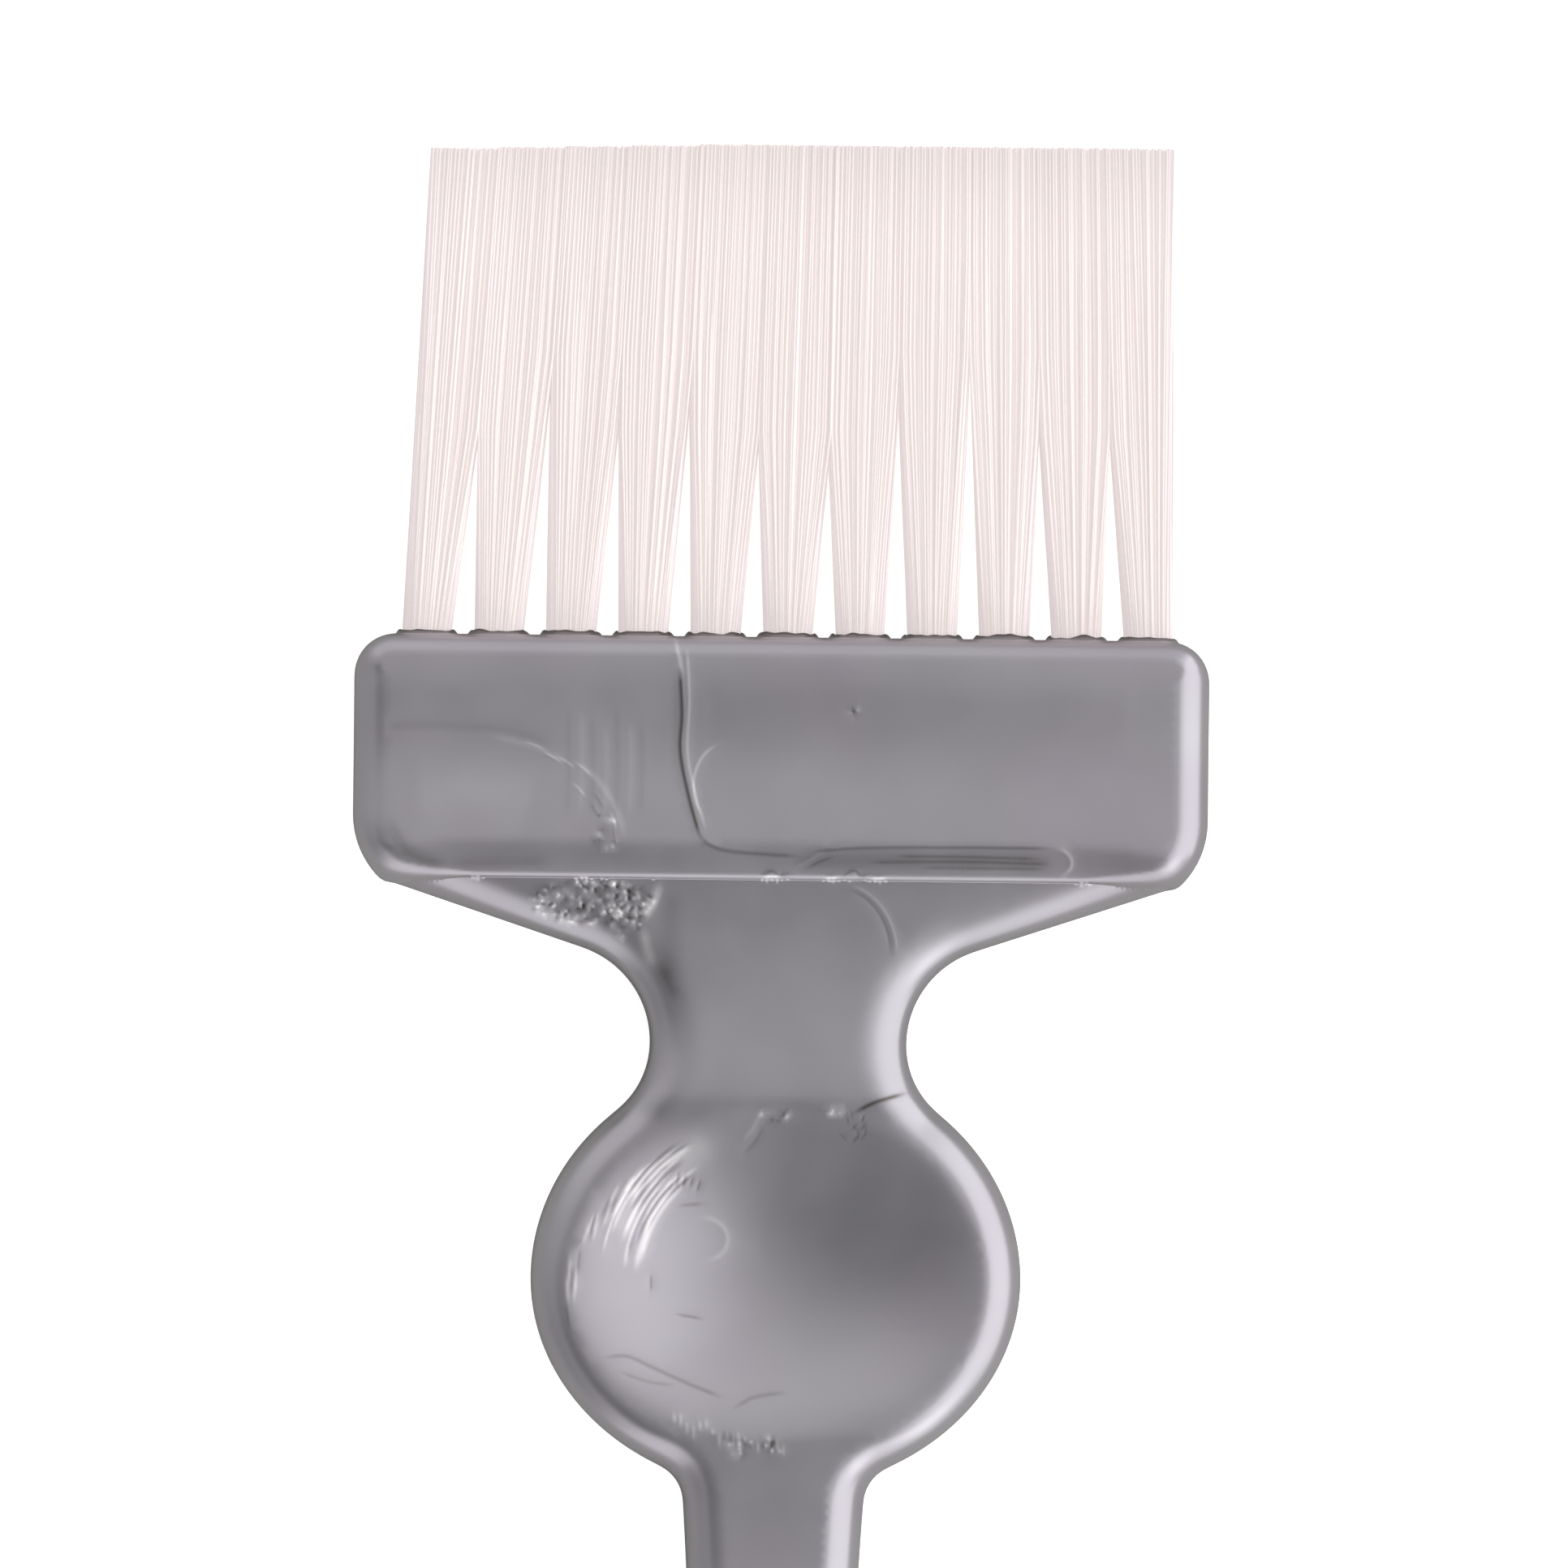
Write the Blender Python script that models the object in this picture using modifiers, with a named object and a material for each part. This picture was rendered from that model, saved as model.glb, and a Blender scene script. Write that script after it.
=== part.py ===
"""Flat pastry brush: one moulded plastic handle, eleven folded nylon tufts in a row, and the
flat metal anchor that holds each tuft in its hole.

The brush lies on its back. +X is right seen from the front face, +Y runs along the brush
towards the bristle tips, +Z is up through the thickness. The origin is under the middle of
the brush, on the plane it lies on. All sizes are in metres.
"""

import math

import bmesh
import bpy
from mathutils import Vector

# Overall sizes
HANDLE_LENGTH = 0.177       # tail to the top edge of the head
BRISTLE_LENGTH = 0.0384     # free length of the longest tuft
HEAD_TOP = (HANDLE_LENGTH + BRISTLE_LENGTH) / 2 - BRISTLE_LENGTH
TAIL = HEAD_TOP - HANDLE_LENGTH
HEAD_THICKNESS = 0.010
MID = HEAD_THICKNESS / 2    # height of the mid-plane above the resting plane

# Head block that carries the tufts
HEAD_HALF_WIDTH = 0.03325
HEAD_DEPTH = 0.0189         # top edge to the crease above the shoulders
HEAD_TOP_RADIUS = 0.0032
HEAD_LOW_CORNER = 0.0049    # height of the lower corners above the crease
HEAD_LOW_RADIUS = 0.0072    # side of the lower corner, which tightens into the crease
HEAD_CREASE_RADIUS = 0.0028
HEAD_EDGE_RADIUS = 0.0026

# Shoulders, waist, thumb disc and stem, all cut from one plate
PLATE_THICKNESS = 0.0065
PLATE_EDGE_RADIUS = 0.0023
SHOULDER_SLOPE = math.radians(18.3)
SHOULDER_OUTER = (0.0313, -0.0189)  # where the shoulder leaves the head, from the head's top edge
SHOULDER_BEND = 0.0287
WAIST_HALF_WIDTH = 0.00994
WAIST_UPPER_RADIUS = 0.00775
WAIST_LOWER_RADIUS = 0.00695
DISC_CENTRE = -0.0500               # from the head's top edge
DISC_HALF_WIDTH = 0.01905
DISC_UPPER_HALF = 0.0172
DISC_LOWER_HALF = 0.0165
STEM_FILLET = 0.0032
STEM_HALF_WIDTH = 0.00697
STEM_END_HALF_WIDTH = 0.0049
STEM_TAPER_LENGTH = 0.032
EYE_RADIUS = 0.0080
EYE_FILLET = 0.014
EYE_THICKNESS = HEAD_THICKNESS
HANGING_HOLE_RADIUS = 0.0036

# Thumb dish, cut into both faces of the disc
DISH_HALF_WIDTH = 0.0158
DISH_HALF_LENGTH = 0.0132
DISH_CENTRE = -0.0503
DISH_DEPTH = 0.0015

# Tufts, their holes and their anchors
TUFTS = 11
TUFT_PITCH = 0.00563
ROW_OFFSET = 0.0004
GAP = 0.0003
HOLE_RADIUS = 0.0021
HOLE_DEPTH = 0.0090
TUFT_RADIUS = HOLE_RADIUS - GAP
TUFT_MEET = 0.0150                  # height above the head where neighbouring tufts meet
TUFT_TIP_PITCH = 0.00526
TUFT_TIP_OFFSET = 0.0016
TUFT_MEET_HALF_DEPTH = 0.0020
TUFT_TIP_HALF_DEPTH = 0.0015
TUFT_SHORTEST = BRISTLE_LENGTH - 0.0005
ANCHOR_THICKNESS = 0.0005
ANCHOR_WIDTH = 0.0048
ANCHOR_HEIGHT = 0.0022
FOLD_HEIGHT = 0.0013                # filament bend left under the anchor

ARC_STEP = math.radians(12)


def clear_scene():
    for ob in list(bpy.data.objects):
        bpy.data.objects.remove(ob, do_unlink=True)


def make_collection(name):
    collection = bpy.data.collections.new(name)
    bpy.context.scene.collection.children.link(collection)
    return collection


def plastic(name, colour, roughness, metallic):
    material = bpy.data.materials.new(name)
    material.use_nodes = True
    shader = material.node_tree.nodes["Principled BSDF"]
    shader.inputs["Base Color"].default_value = (*colour, 1.0)
    shader.inputs["Roughness"].default_value = roughness
    shader.inputs["Metallic"].default_value = metallic
    return material


def grey_plastic():
    return plastic("grey_pigmented_plastic", (0.27, 0.25, 0.28), 0.35, 0.2)


def white_nylon():
    return plastic("white_nylon_filament", (0.88, 0.82, 0.80), 0.5, 0.0)


def anchor_steel():
    return plastic("anchor_steel", (0.62, 0.61, 0.58), 0.3, 1.0)


def arc(centre, radius_x, radius_y, start, end):
    """Points on an elliptical arc; angles in radians, either way round."""
    steps = max(2, math.ceil(abs(end - start) / ARC_STEP))
    angles = [start + (end - start) * k / steps for k in range(steps + 1)]
    return [(centre[0] + radius_x * math.cos(a), centre[1] + radius_y * math.sin(a)) for a in angles]


def ellipse_fillet(semi_x, semi_y, centre_y, radius, side_x, low, high):
    """The circle of a radius that touches an ellipse and the upright line x = side_x.

    Returns the ellipse's angle at the touch, between low and high, and the circle's centre.
    """
    def circle_centre(angle):
        normal = Vector((math.cos(angle) / semi_x, math.sin(angle) / semi_y)).normalized()
        return Vector((semi_x * math.cos(angle), centre_y + semi_y * math.sin(angle))) + radius * normal

    target = side_x + radius
    for _ in range(60):
        middle = (low + high) / 2
        if (circle_centre(middle).x > target) == (circle_centre(low).x > target):
            low = middle
        else:
            high = middle
    return low, circle_centre(low)


def head_side():
    """Right half of the head's outline, top middle to bottom middle."""
    top = arc((HEAD_HALF_WIDTH - HEAD_TOP_RADIUS, -HEAD_TOP_RADIUS),
              HEAD_TOP_RADIUS, HEAD_TOP_RADIUS, math.pi / 2, 0)
    difference = HEAD_LOW_RADIUS - HEAD_CREASE_RADIUS
    turn = math.asin((HEAD_LOW_CORNER - HEAD_CREASE_RADIUS) / difference)
    side = arc((HEAD_HALF_WIDTH - HEAD_LOW_RADIUS, HEAD_LOW_CORNER - HEAD_DEPTH),
               HEAD_LOW_RADIUS, HEAD_LOW_RADIUS, 0, -turn)
    centre = (HEAD_HALF_WIDTH - HEAD_LOW_RADIUS + difference * math.cos(turn),
              HEAD_CREASE_RADIUS - HEAD_DEPTH)
    return top + side + arc(centre, HEAD_CREASE_RADIUS, HEAD_CREASE_RADIUS, -turn, -math.pi / 2)[1:]


def stem_side(start_y):
    """Stem edge from the disc fillet down to the fillet of the hanging eye."""
    reach = EYE_RADIUS + EYE_FILLET
    eye_y = -HANDLE_LENGTH + EYE_RADIUS
    fillet_x = STEM_END_HALF_WIDTH + EYE_FILLET
    fillet_y = eye_y + math.sqrt(reach ** 2 - fillet_x ** 2)
    count = 7
    drop = start_y - fillet_y
    extra = STEM_HALF_WIDTH - STEM_END_HALF_WIDTH
    points = []
    for k in range(1, count):
        down = drop * k / count
        points.append((STEM_END_HALF_WIDTH + extra * math.exp(-down / STEM_TAPER_LENGTH),
                       start_y - down))
    turn = math.asin((fillet_y - eye_y) / reach)
    points += arc((fillet_x, fillet_y), EYE_FILLET, EYE_FILLET, math.pi, math.pi + turn)
    points += arc((0, eye_y), EYE_RADIUS, EYE_RADIUS, turn, -math.pi / 2)[1:]
    return points


def plate_side():
    """Right half of the plate's outline: inside the head, shoulder, waist, disc, stem, eye."""
    upper, waist = ellipse_fillet(DISC_HALF_WIDTH, DISC_UPPER_HALF, DISC_CENTRE,
                                  WAIST_LOWER_RADIUS, WAIST_HALF_WIDTH, 0.3, 1.5)
    lower, stem = ellipse_fillet(DISC_HALF_WIDTH, DISC_LOWER_HALF, DISC_CENTRE,
                                 STEM_FILLET, STEM_HALF_WIDTH, -1.5, -0.3)
    neck_start = math.pi / 2 + SHOULDER_SLOPE
    neck = arc((WAIST_HALF_WIDTH + WAIST_UPPER_RADIUS, waist.y),
               WAIST_UPPER_RADIUS, WAIST_UPPER_RADIUS, neck_start, math.pi)
    bend_y = neck[0][1] + (SHOULDER_BEND - neck[0][0]) * math.tan(SHOULDER_SLOPE)
    points = [(SHOULDER_OUTER[0] - GAP, HEAD_LOW_RADIUS - HEAD_DEPTH),
              SHOULDER_OUTER, (SHOULDER_BEND, bend_y)]
    points += neck
    points += arc(waist, WAIST_LOWER_RADIUS, WAIST_LOWER_RADIUS, math.pi, math.pi + upper)[1:-1]
    points += arc((0, DISC_CENTRE), DISC_HALF_WIDTH, DISC_UPPER_HALF, upper, 0)
    points += arc((0, DISC_CENTRE), DISC_HALF_WIDTH, DISC_LOWER_HALF, 0, lower)[1:-1]
    points += arc(stem, STEM_FILLET, STEM_FILLET, math.pi + lower, math.pi)
    return points + stem_side(stem.y)


def closed_outline(half):
    """Both halves of an outline, placed along the brush; points on the middle are not doubled."""
    left = [(-x, y) for x, y in reversed(half) if x > 1e-6]
    return [(x, HEAD_TOP + y) for x, y in half + left]


def plate_from_outline(name, outline, thickness, collection):
    """A flat plate from a 2D curve, as a closed mesh centred on the brush's mid-plane."""
    curve = bpy.data.curves.new(name, "CURVE")
    curve.dimensions = "2D"
    curve.fill_mode = "BOTH"
    curve.extrude = thickness / 2
    curve.render_resolution_u = 0
    spline = curve.splines.new("POLY")
    spline.points.add(len(outline) - 1)
    for point, (x, y) in zip(spline.points, outline):
        point.co = (x, y, 0, 1)
    spline.use_cyclic_u = True
    drawn = bpy.data.objects.new(name + "_curve", curve)
    drawn.location.z = MID
    collection.objects.link(drawn)
    bpy.context.view_layer.update()
    evaluated = drawn.evaluated_get(bpy.context.evaluated_depsgraph_get())
    mesh = bpy.data.meshes.new_from_object(evaluated)
    plate = bpy.data.objects.new(name, mesh)
    plate.matrix_world = drawn.matrix_world
    collection.objects.link(plate)
    bpy.data.objects.remove(drawn)
    shape = bmesh.new()
    shape.from_mesh(mesh)
    bmesh.ops.remove_doubles(shape, verts=shape.verts, dist=1e-6)
    bmesh.ops.recalc_face_normals(shape, faces=shape.faces)
    shape.to_mesh(mesh)
    shape.free()
    return plate


def bevel(ob, width, segments):
    modifier = ob.modifiers.new("rounded_edges", "BEVEL")
    modifier.width = width
    modifier.segments = segments
    modifier.limit_method = "ANGLE"
    modifier.angle_limit = math.radians(50)
    modifier.use_clamp_overlap = False


def boolean(ob, other, operation):
    modifier = ob.modifiers.new(operation.lower(), "BOOLEAN")
    modifier.operation = operation
    modifier.object = other
    modifier.solver = "EXACT"


def mark_cutter(ob):
    ob.hide_render = True
    ob.display_type = "WIRE"


def ellipsoid(name, location, radii, collection):
    mesh = bpy.data.meshes.new(name)
    shape = bmesh.new()
    bmesh.ops.create_uvsphere(shape, u_segments=28, v_segments=40, radius=1)
    bmesh.ops.scale(shape, vec=radii, verts=shape.verts)
    shape.to_mesh(mesh)
    shape.free()
    ob = bpy.data.objects.new(name, mesh)
    ob.location = location
    collection.objects.link(ob)
    mark_cutter(ob)
    return ob


def cylinder(name, location, radius, length, along_y, sides, collection):
    mesh = bpy.data.meshes.new(name)
    shape = bmesh.new()
    bmesh.ops.create_cone(shape, cap_ends=True, segments=sides, radius1=radius, radius2=radius,
                          depth=length)
    shape.to_mesh(mesh)
    shape.free()
    ob = bpy.data.objects.new(name, mesh)
    ob.location = location
    if along_y:
        ob.rotation_euler.x = math.pi / 2
    collection.objects.link(ob)
    mark_cutter(ob)
    return ob


def box(name, location, size, collection):
    mesh = bpy.data.meshes.new(name)
    shape = bmesh.new()
    bmesh.ops.create_cube(shape, size=1)
    bmesh.ops.scale(shape, vec=size, verts=shape.verts)
    shape.to_mesh(mesh)
    shape.free()
    ob = bpy.data.objects.new(name, mesh)
    ob.location = location
    collection.objects.link(ob)
    return ob


def thicken_stem(plate):
    """The plate swells from the disc down to the eye, so that head and tail rest level."""
    stem_top = HEAD_TOP + DISC_CENTRE - DISC_LOWER_HALF
    stem_end = TAIL + 2.5 * EYE_RADIUS
    growth = EYE_THICKNESS / PLATE_THICKNESS - 1
    for vertex in plate.data.vertices:
        along = min(1, max(0, (stem_top - vertex.co.y) / (stem_top - stem_end)))
        vertex.co.z *= 1 + growth * (1 - math.cos(math.pi * along)) / 2


def tuft_x(index):
    return ROW_OFFSET + (index - (TUFTS - 1) / 2) * TUFT_PITCH


def anchor_y():
    return HEAD_TOP - HOLE_DEPTH + GAP + FOLD_HEIGHT + GAP + ANCHOR_HEIGHT / 2


def cut_dish(handle, cutters):
    """Shallow oval thumb dishes; each cutter is a large ellipsoid that dips into one face."""
    sphere_depth = 0.012
    share = 1 - DISH_DEPTH / sphere_depth
    spread = math.sqrt(1 - share ** 2)
    radii = (DISH_HALF_WIDTH / spread, DISH_HALF_LENGTH / spread, sphere_depth)
    for side in (1, -1):
        height = MID + side * (PLATE_THICKNESS / 2 - DISH_DEPTH + sphere_depth)
        dish = ellipsoid("dish_cutter", (0, HEAD_TOP + DISH_CENTRE, height), radii, cutters)
        boolean(handle, dish, "DIFFERENCE")


def cut_tuft_holes(handle, cutters):
    """Blind round holes, each with the side slots that its anchor bites into."""
    for index in range(TUFTS):
        length = HOLE_DEPTH + 0.002
        hole = cylinder("tuft_hole", (tuft_x(index), HEAD_TOP - HOLE_DEPTH + length / 2, MID),
                        HOLE_RADIUS, length, True, 16, cutters)
        slot = box("anchor_slot", (tuft_x(index), anchor_y(), MID),
                   (ANCHOR_THICKNESS + 2 * GAP, ANCHOR_HEIGHT + 2 * GAP, ANCHOR_WIDTH + 2 * GAP),
                   cutters)
        mark_cutter(slot)
        boolean(handle, hole, "DIFFERENCE")
        boolean(handle, slot, "DIFFERENCE")


def make_handle(parts, cutters):
    handle = plate_from_outline("handle", closed_outline(plate_side()), PLATE_THICKNESS, parts)
    thicken_stem(handle)
    bevel(handle, PLATE_EDGE_RADIUS, 3)
    head = plate_from_outline("head_block", closed_outline(head_side()), HEAD_THICKNESS, cutters)
    bevel(head, HEAD_EDGE_RADIUS, 4)
    mark_cutter(head)
    boolean(handle, head, "UNION")
    cut_dish(handle, cutters)
    eye = cylinder("hanging_hole", (0, TAIL + EYE_RADIUS, MID), HANGING_HOLE_RADIUS,
                   2 * EYE_THICKNESS, False, 24, cutters)
    boolean(handle, eye, "DIFFERENCE")
    cut_tuft_holes(handle, cutters)
    handle.data.materials.append(grey_plastic())
    handle.data.shade_smooth()
    handle.data.set_sharp_from_angle(angle=math.radians(35))


def section(centre_x, y, half_x, half_z, squareness, sides=16):
    """One ring of a tuft: a circle at squareness 2, nearing a rectangle as it grows."""
    ring = []
    for k in range(sides):
        angle = 2 * math.pi * (k + 0.5) / sides
        cos, sin = math.cos(angle), math.sin(angle)
        ring.append((centre_x + half_x * math.copysign(abs(cos) ** (2 / squareness), cos), y,
                     MID + half_z * math.copysign(abs(sin) ** (2 / squareness), sin)))
    return ring


def loft(name, rings, collection):
    """A closed solid skinned over rings of equal point count, running towards +Y."""
    mesh = bpy.data.meshes.new(name)
    shape = bmesh.new()
    layers = [[shape.verts.new(point) for point in ring] for ring in rings]
    for low, high in zip(layers, layers[1:]):
        for k in range(len(low)):
            following = (k + 1) % len(low)
            shape.faces.new((low[k], high[k], high[following], low[following]))
    shape.faces.new(layers[0])
    shape.faces.new(reversed(layers[-1]))
    bmesh.ops.recalc_face_normals(shape, faces=shape.faces)
    shape.to_mesh(mesh)
    shape.free()
    ob = bpy.data.objects.new(name, mesh)
    collection.objects.link(ob)
    return ob


def make_tuft(index, material, parts, cutters):
    """A bundle of filaments: round and folded in its hole, fanning out to meet its neighbours."""
    place = index - (TUFTS - 1) / 2
    tip_x = TUFT_TIP_OFFSET + place * TUFT_TIP_PITCH
    across = TUFT_MEET / BRISTLE_LENGTH
    meet_x = tuft_x(index) + (tip_x - tuft_x(index)) * across
    meet_pitch = TUFT_PITCH + (TUFT_TIP_PITCH - TUFT_PITCH) * across
    length = TUFT_SHORTEST + (BRISTLE_LENGTH - TUFT_SHORTEST) * min(1, index / 4)
    rings = [
        section(tuft_x(index), HEAD_TOP - HOLE_DEPTH + GAP, TUFT_RADIUS, TUFT_RADIUS, 2),
        section(tuft_x(index), HEAD_TOP, TUFT_RADIUS, TUFT_RADIUS, 2),
        section(meet_x, HEAD_TOP + TUFT_MEET, (meet_pitch - GAP) / 2, TUFT_MEET_HALF_DEPTH, 5),
        section(tip_x, HEAD_TOP + length, (TUFT_TIP_PITCH - GAP) / 2, TUFT_TIP_HALF_DEPTH, 5),
    ]
    tuft = loft(f"bristle_tuft_{index + 1:02d}", rings, parts)
    slot = box("fold_slot", (tuft_x(index), anchor_y(), MID),
               (ANCHOR_THICKNESS + 2 * GAP, ANCHOR_HEIGHT + 2 * GAP, 3 * TUFT_RADIUS), cutters)
    mark_cutter(slot)
    boolean(tuft, slot, "DIFFERENCE")
    tuft.data.materials.append(material)
    tuft.data.shade_smooth()
    tuft.data.set_sharp_from_angle(angle=math.radians(40))


def make_anchor(index, material, parts):
    """A flat plate driven across the fold, its two ends bitten into the sides of the hole."""
    anchor = box(f"tuft_anchor_{index + 1:02d}", (tuft_x(index), anchor_y(), MID),
                 (ANCHOR_THICKNESS, ANCHOR_HEIGHT, ANCHOR_WIDTH), parts)
    bevel(anchor, ANCHOR_THICKNESS / 5, 1)
    anchor.data.materials.append(material)


def main():
    clear_scene()
    parts = make_collection("pastry_brush")
    cutters = make_collection("cutters")
    make_handle(parts, cutters)
    nylon = white_nylon()
    steel = anchor_steel()
    for index in range(TUFTS):
        make_tuft(index, nylon, parts, cutters)
        make_anchor(index, steel, parts)


main()
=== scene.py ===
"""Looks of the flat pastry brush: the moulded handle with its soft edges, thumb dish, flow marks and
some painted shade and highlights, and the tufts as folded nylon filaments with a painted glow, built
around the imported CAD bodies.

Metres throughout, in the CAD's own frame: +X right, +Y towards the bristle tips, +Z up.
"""

import math
import random

import bmesh
import bpy
import numpy as np
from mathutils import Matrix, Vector, geometry, kdtree, noise


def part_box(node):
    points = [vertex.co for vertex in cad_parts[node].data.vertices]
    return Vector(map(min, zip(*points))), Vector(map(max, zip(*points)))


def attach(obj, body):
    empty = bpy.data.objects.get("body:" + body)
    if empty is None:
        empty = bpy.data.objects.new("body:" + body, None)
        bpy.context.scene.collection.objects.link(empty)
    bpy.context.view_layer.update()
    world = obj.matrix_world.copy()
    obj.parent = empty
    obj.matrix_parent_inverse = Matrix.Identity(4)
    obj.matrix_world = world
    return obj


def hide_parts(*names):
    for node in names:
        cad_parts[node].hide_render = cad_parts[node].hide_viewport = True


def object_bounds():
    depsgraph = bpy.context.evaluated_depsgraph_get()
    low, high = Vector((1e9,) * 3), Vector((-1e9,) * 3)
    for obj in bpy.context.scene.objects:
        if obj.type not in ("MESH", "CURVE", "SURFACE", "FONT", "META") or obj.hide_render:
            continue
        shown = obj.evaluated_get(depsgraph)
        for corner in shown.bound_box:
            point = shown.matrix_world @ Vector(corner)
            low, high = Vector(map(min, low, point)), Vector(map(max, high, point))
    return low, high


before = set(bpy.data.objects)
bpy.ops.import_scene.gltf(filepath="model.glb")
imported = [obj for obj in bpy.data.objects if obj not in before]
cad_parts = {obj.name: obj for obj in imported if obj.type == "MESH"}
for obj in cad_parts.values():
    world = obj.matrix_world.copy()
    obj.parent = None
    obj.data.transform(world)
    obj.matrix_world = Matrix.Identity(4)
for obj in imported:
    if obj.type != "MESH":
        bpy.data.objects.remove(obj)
cad_low, cad_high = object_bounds()

MM = 0.001
TUFTS = 11

# Places read from the frame
handle_low, handle_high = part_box("handle")
HEAD_TOP = handle_high.y
TAIL = handle_low.y
MID = (handle_low.z + handle_high.z) / 2
HEAD_HALF_THICKNESS = handle_high.z - MID
HEAD_HALF_WIDTH = handle_high.x

# Outline of the handle; y is measured from the head's top edge
HEAD_DEPTH = 18.9 * MM
HEAD_TOP_RADIUS = 3.3 * MM
HEAD_LOW_RADIUS = 7.2 * MM
HEAD_LOW_CORNER = 4.9 * MM
HEAD_LOW_DIP = 0.5 * MM
HEAD_DIP_START = 23 * MM
HEAD_DIP_LENGTH = 7.5 * MM
SHOULDER_SLOPE = math.radians(18.3)
WAIST_HALF_WIDTH = 9.94 * MM
WAIST_UPPER_RADIUS = 7.75 * MM
WAIST_LOWER_RADIUS = 6.95 * MM
DISC_CENTRE = -50.0 * MM
DISC_HALF_WIDTH = 19.05 * MM
DISC_UPPER_HALF = 17.2 * MM
DISC_LOWER_HALF = 16.5 * MM
STEM_FILLET = 3.2 * MM
STEM_HALF_WIDTH = 6.97 * MM
STEM_END_HALF_WIDTH = 4.9 * MM
STEM_TAPER_LENGTH = 32 * MM
EYE_RADIUS = 8 * MM
EYE_FILLET = 14 * MM
HANGING_HOLE_RADIUS = 3.6 * MM
PLATE_ROOT = -0.6 * HEAD_DEPTH
PLATE_ROOT_INSET = 0.35 * MM
CORNER_RUN = 10 * MM
JOIN_PASSES = 2

# Section of the handle; heights are above the mid-plane
PLATE_HALF_THICKNESS = 3.25 * MM
HEAD_EDGE_RADIUS = 2.5 * MM
HEAD_BROW_RADIUS = 1.5 * MM
HEAD_LIP_RADIUS = 0.42 * MM
LIP_CORNER = 31.4 * MM
LIP_SPREAD = 8.5 * MM
LIP_TAPER = 0.6
CORNER_POWER = 2.4
FACE_INSET = 0.002 * MM
BROW_BAND = 4.6 * MM
BROW_DROP = 0.22 * MM
HEAD_SINK = 0.34 * MM
PLATE_EDGE_RADIUS = 2.8 * MM
WAIST_EDGE_WIDTH = 4.6 * MM
WAIST_TOP = 19.5 * MM
WAIST_END = 37 * MM
WAIST_BLEND = 5 * MM
HOLE_EDGE_RADIUS = 1.0 * MM
PARTING_RIDGE = 0.06 * MM
# Painted shade: the outer band of each face and the side walls are darkened, standing in for the dark
# reflection along the rounded edges
PAINTED_RIM_SHADE = -0.35
PAINTED_RIM_SHADE_BAND = 0.25 * MM
CREASE_BAND = 3.0 * MM
CREASE_DROP = 0.70 * MM
CREASE_CURVE = 1.35
NECK_RISE = 0.80 * MM
NECK_LENGTH = 10.5 * MM
LIP_PLACE = -35.6 * MM
LIP_HEIGHT = 0.25 * MM
LIP_RISE = 4.0 * MM
LIP_FALL = 1.5 * MM
DISH_HALF_WIDTH = 16.4 * MM
DISH_UPPER = 13.9 * MM
DISH_LOWER = 12.5 * MM
DISH_DEPTH = 1.65 * MM
DISH_SOFTNESS = 1.5
STEM_LIP_PLACE = -61.6 * MM
STEM_LIP_HEIGHT = 0.22 * MM
STEM_LIP_RISE = 5.0 * MM
STEM_LIP_FALL = 2.2 * MM
STEM_SINK = 0.30 * MM
STEM_SINK_LENGTH = 11 * MM

# Mesh density, and the least gaps between one set of points and the next
OUTLINE_STEP = 0.42 * MM
CREASE_STEP = 0.3 * MM
GRID_STEP = 0.55 * MM
GRID_ROW_SHARE = 0.866
EDGE_RINGS = 10
HANGING_HOLE_SIDES = 72
ROW_REACH = 30.4 * MM
ROW_STEP = 0.4 * MM
ROW_RISES = (-0.35, -0.12, -0.01, 0.02, 0.06, 0.12, 0.2, 0.3, 0.42, 0.6, 0.85, 1.15, 1.5, 1.9, 2.4)
ROW_GAP = 0.12 * MM
RING_GAP = 0.08 * MM
MARK_GAP = 0.06 * MM
GRID_GAP = 0.3 * MM
EDGE_GAP = 0.012 * MM
ON_EDGE = 0.03 * MM
WELD = 0.004 * MM

# Rows of the side wall, front to back: share of the way, and share of the parting ridge
WALL_ROWS = [(0.42, 0.0), (0.47, 0.4), (0.5, 1.0), (0.53, 0.4), (0.58, 0.0)]
TOP_WALL_FALL = 0.4 * MM
TOP_WALL_STEP = 0.3 * MM
TOP_WALL_INSET = 0.25 * MM

# Burrs round the tuft holes
BURR_HEIGHT = 0.34 * MM
BURR_UNEVENNESS = 0.24 * MM
BURR_OFFSET = 0.04 * MM
BURR_WIDTH = 0.20 * MM
BURR_REACH = 3.6 * MM
BURR_DARK_HEIGHT = 0.25 * MM
BURR_RINGS = (0.14 * MM, 0.34 * MM)
BURR_MARGIN = 0.5 * MM

# Tufts
HOLE_RADIUS = 2.1 * MM
HOLE_DEPTH = 9.0 * MM
HOLE_RING_DEPTHS = (0.3 * MM, 2 * MM, 5 * MM, HOLE_DEPTH)
HOLE_SIDES = 40
ROOT_RADIUS = 1.87 * MM
FILAMENT_RADIUS = 0.094 * MM
FILAMENT_SIDES = 5
FILAMENT_ROWS = 19
PAIRS = 171
TIP_LEAN = -0.45 * MM
TIP_THINNING = 0.6 * MM
TIP_SCATTER = 0.006
TUFT_OVERLAP = 0.05 * MM
BOW_ACROSS = 0.05 * MM
BOW_UP = 0.07 * MM
BESIDE_ANCHOR = 0.36 * MM
# How deep a filament counts as lying in its tuft, which sets its painted glow
OUTER_LIMIT = 0.95
OUTER_BAND = 0.4
DEPTH_JITTER = 0.12

# A leg of a filament: shares of its free length, then depths in its hole, each with how far it has
# gone over to the anchor's side
LEG_SHARES = (1, 0.78, 0.58, 0.42, 0.29, 0.18, 0.09, 0.03, 0)
LEG_DEPTHS = ((2.6 * MM, 0.5), (4.6 * MM, 1.0), (7.1 * MM, 1.0))

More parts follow.
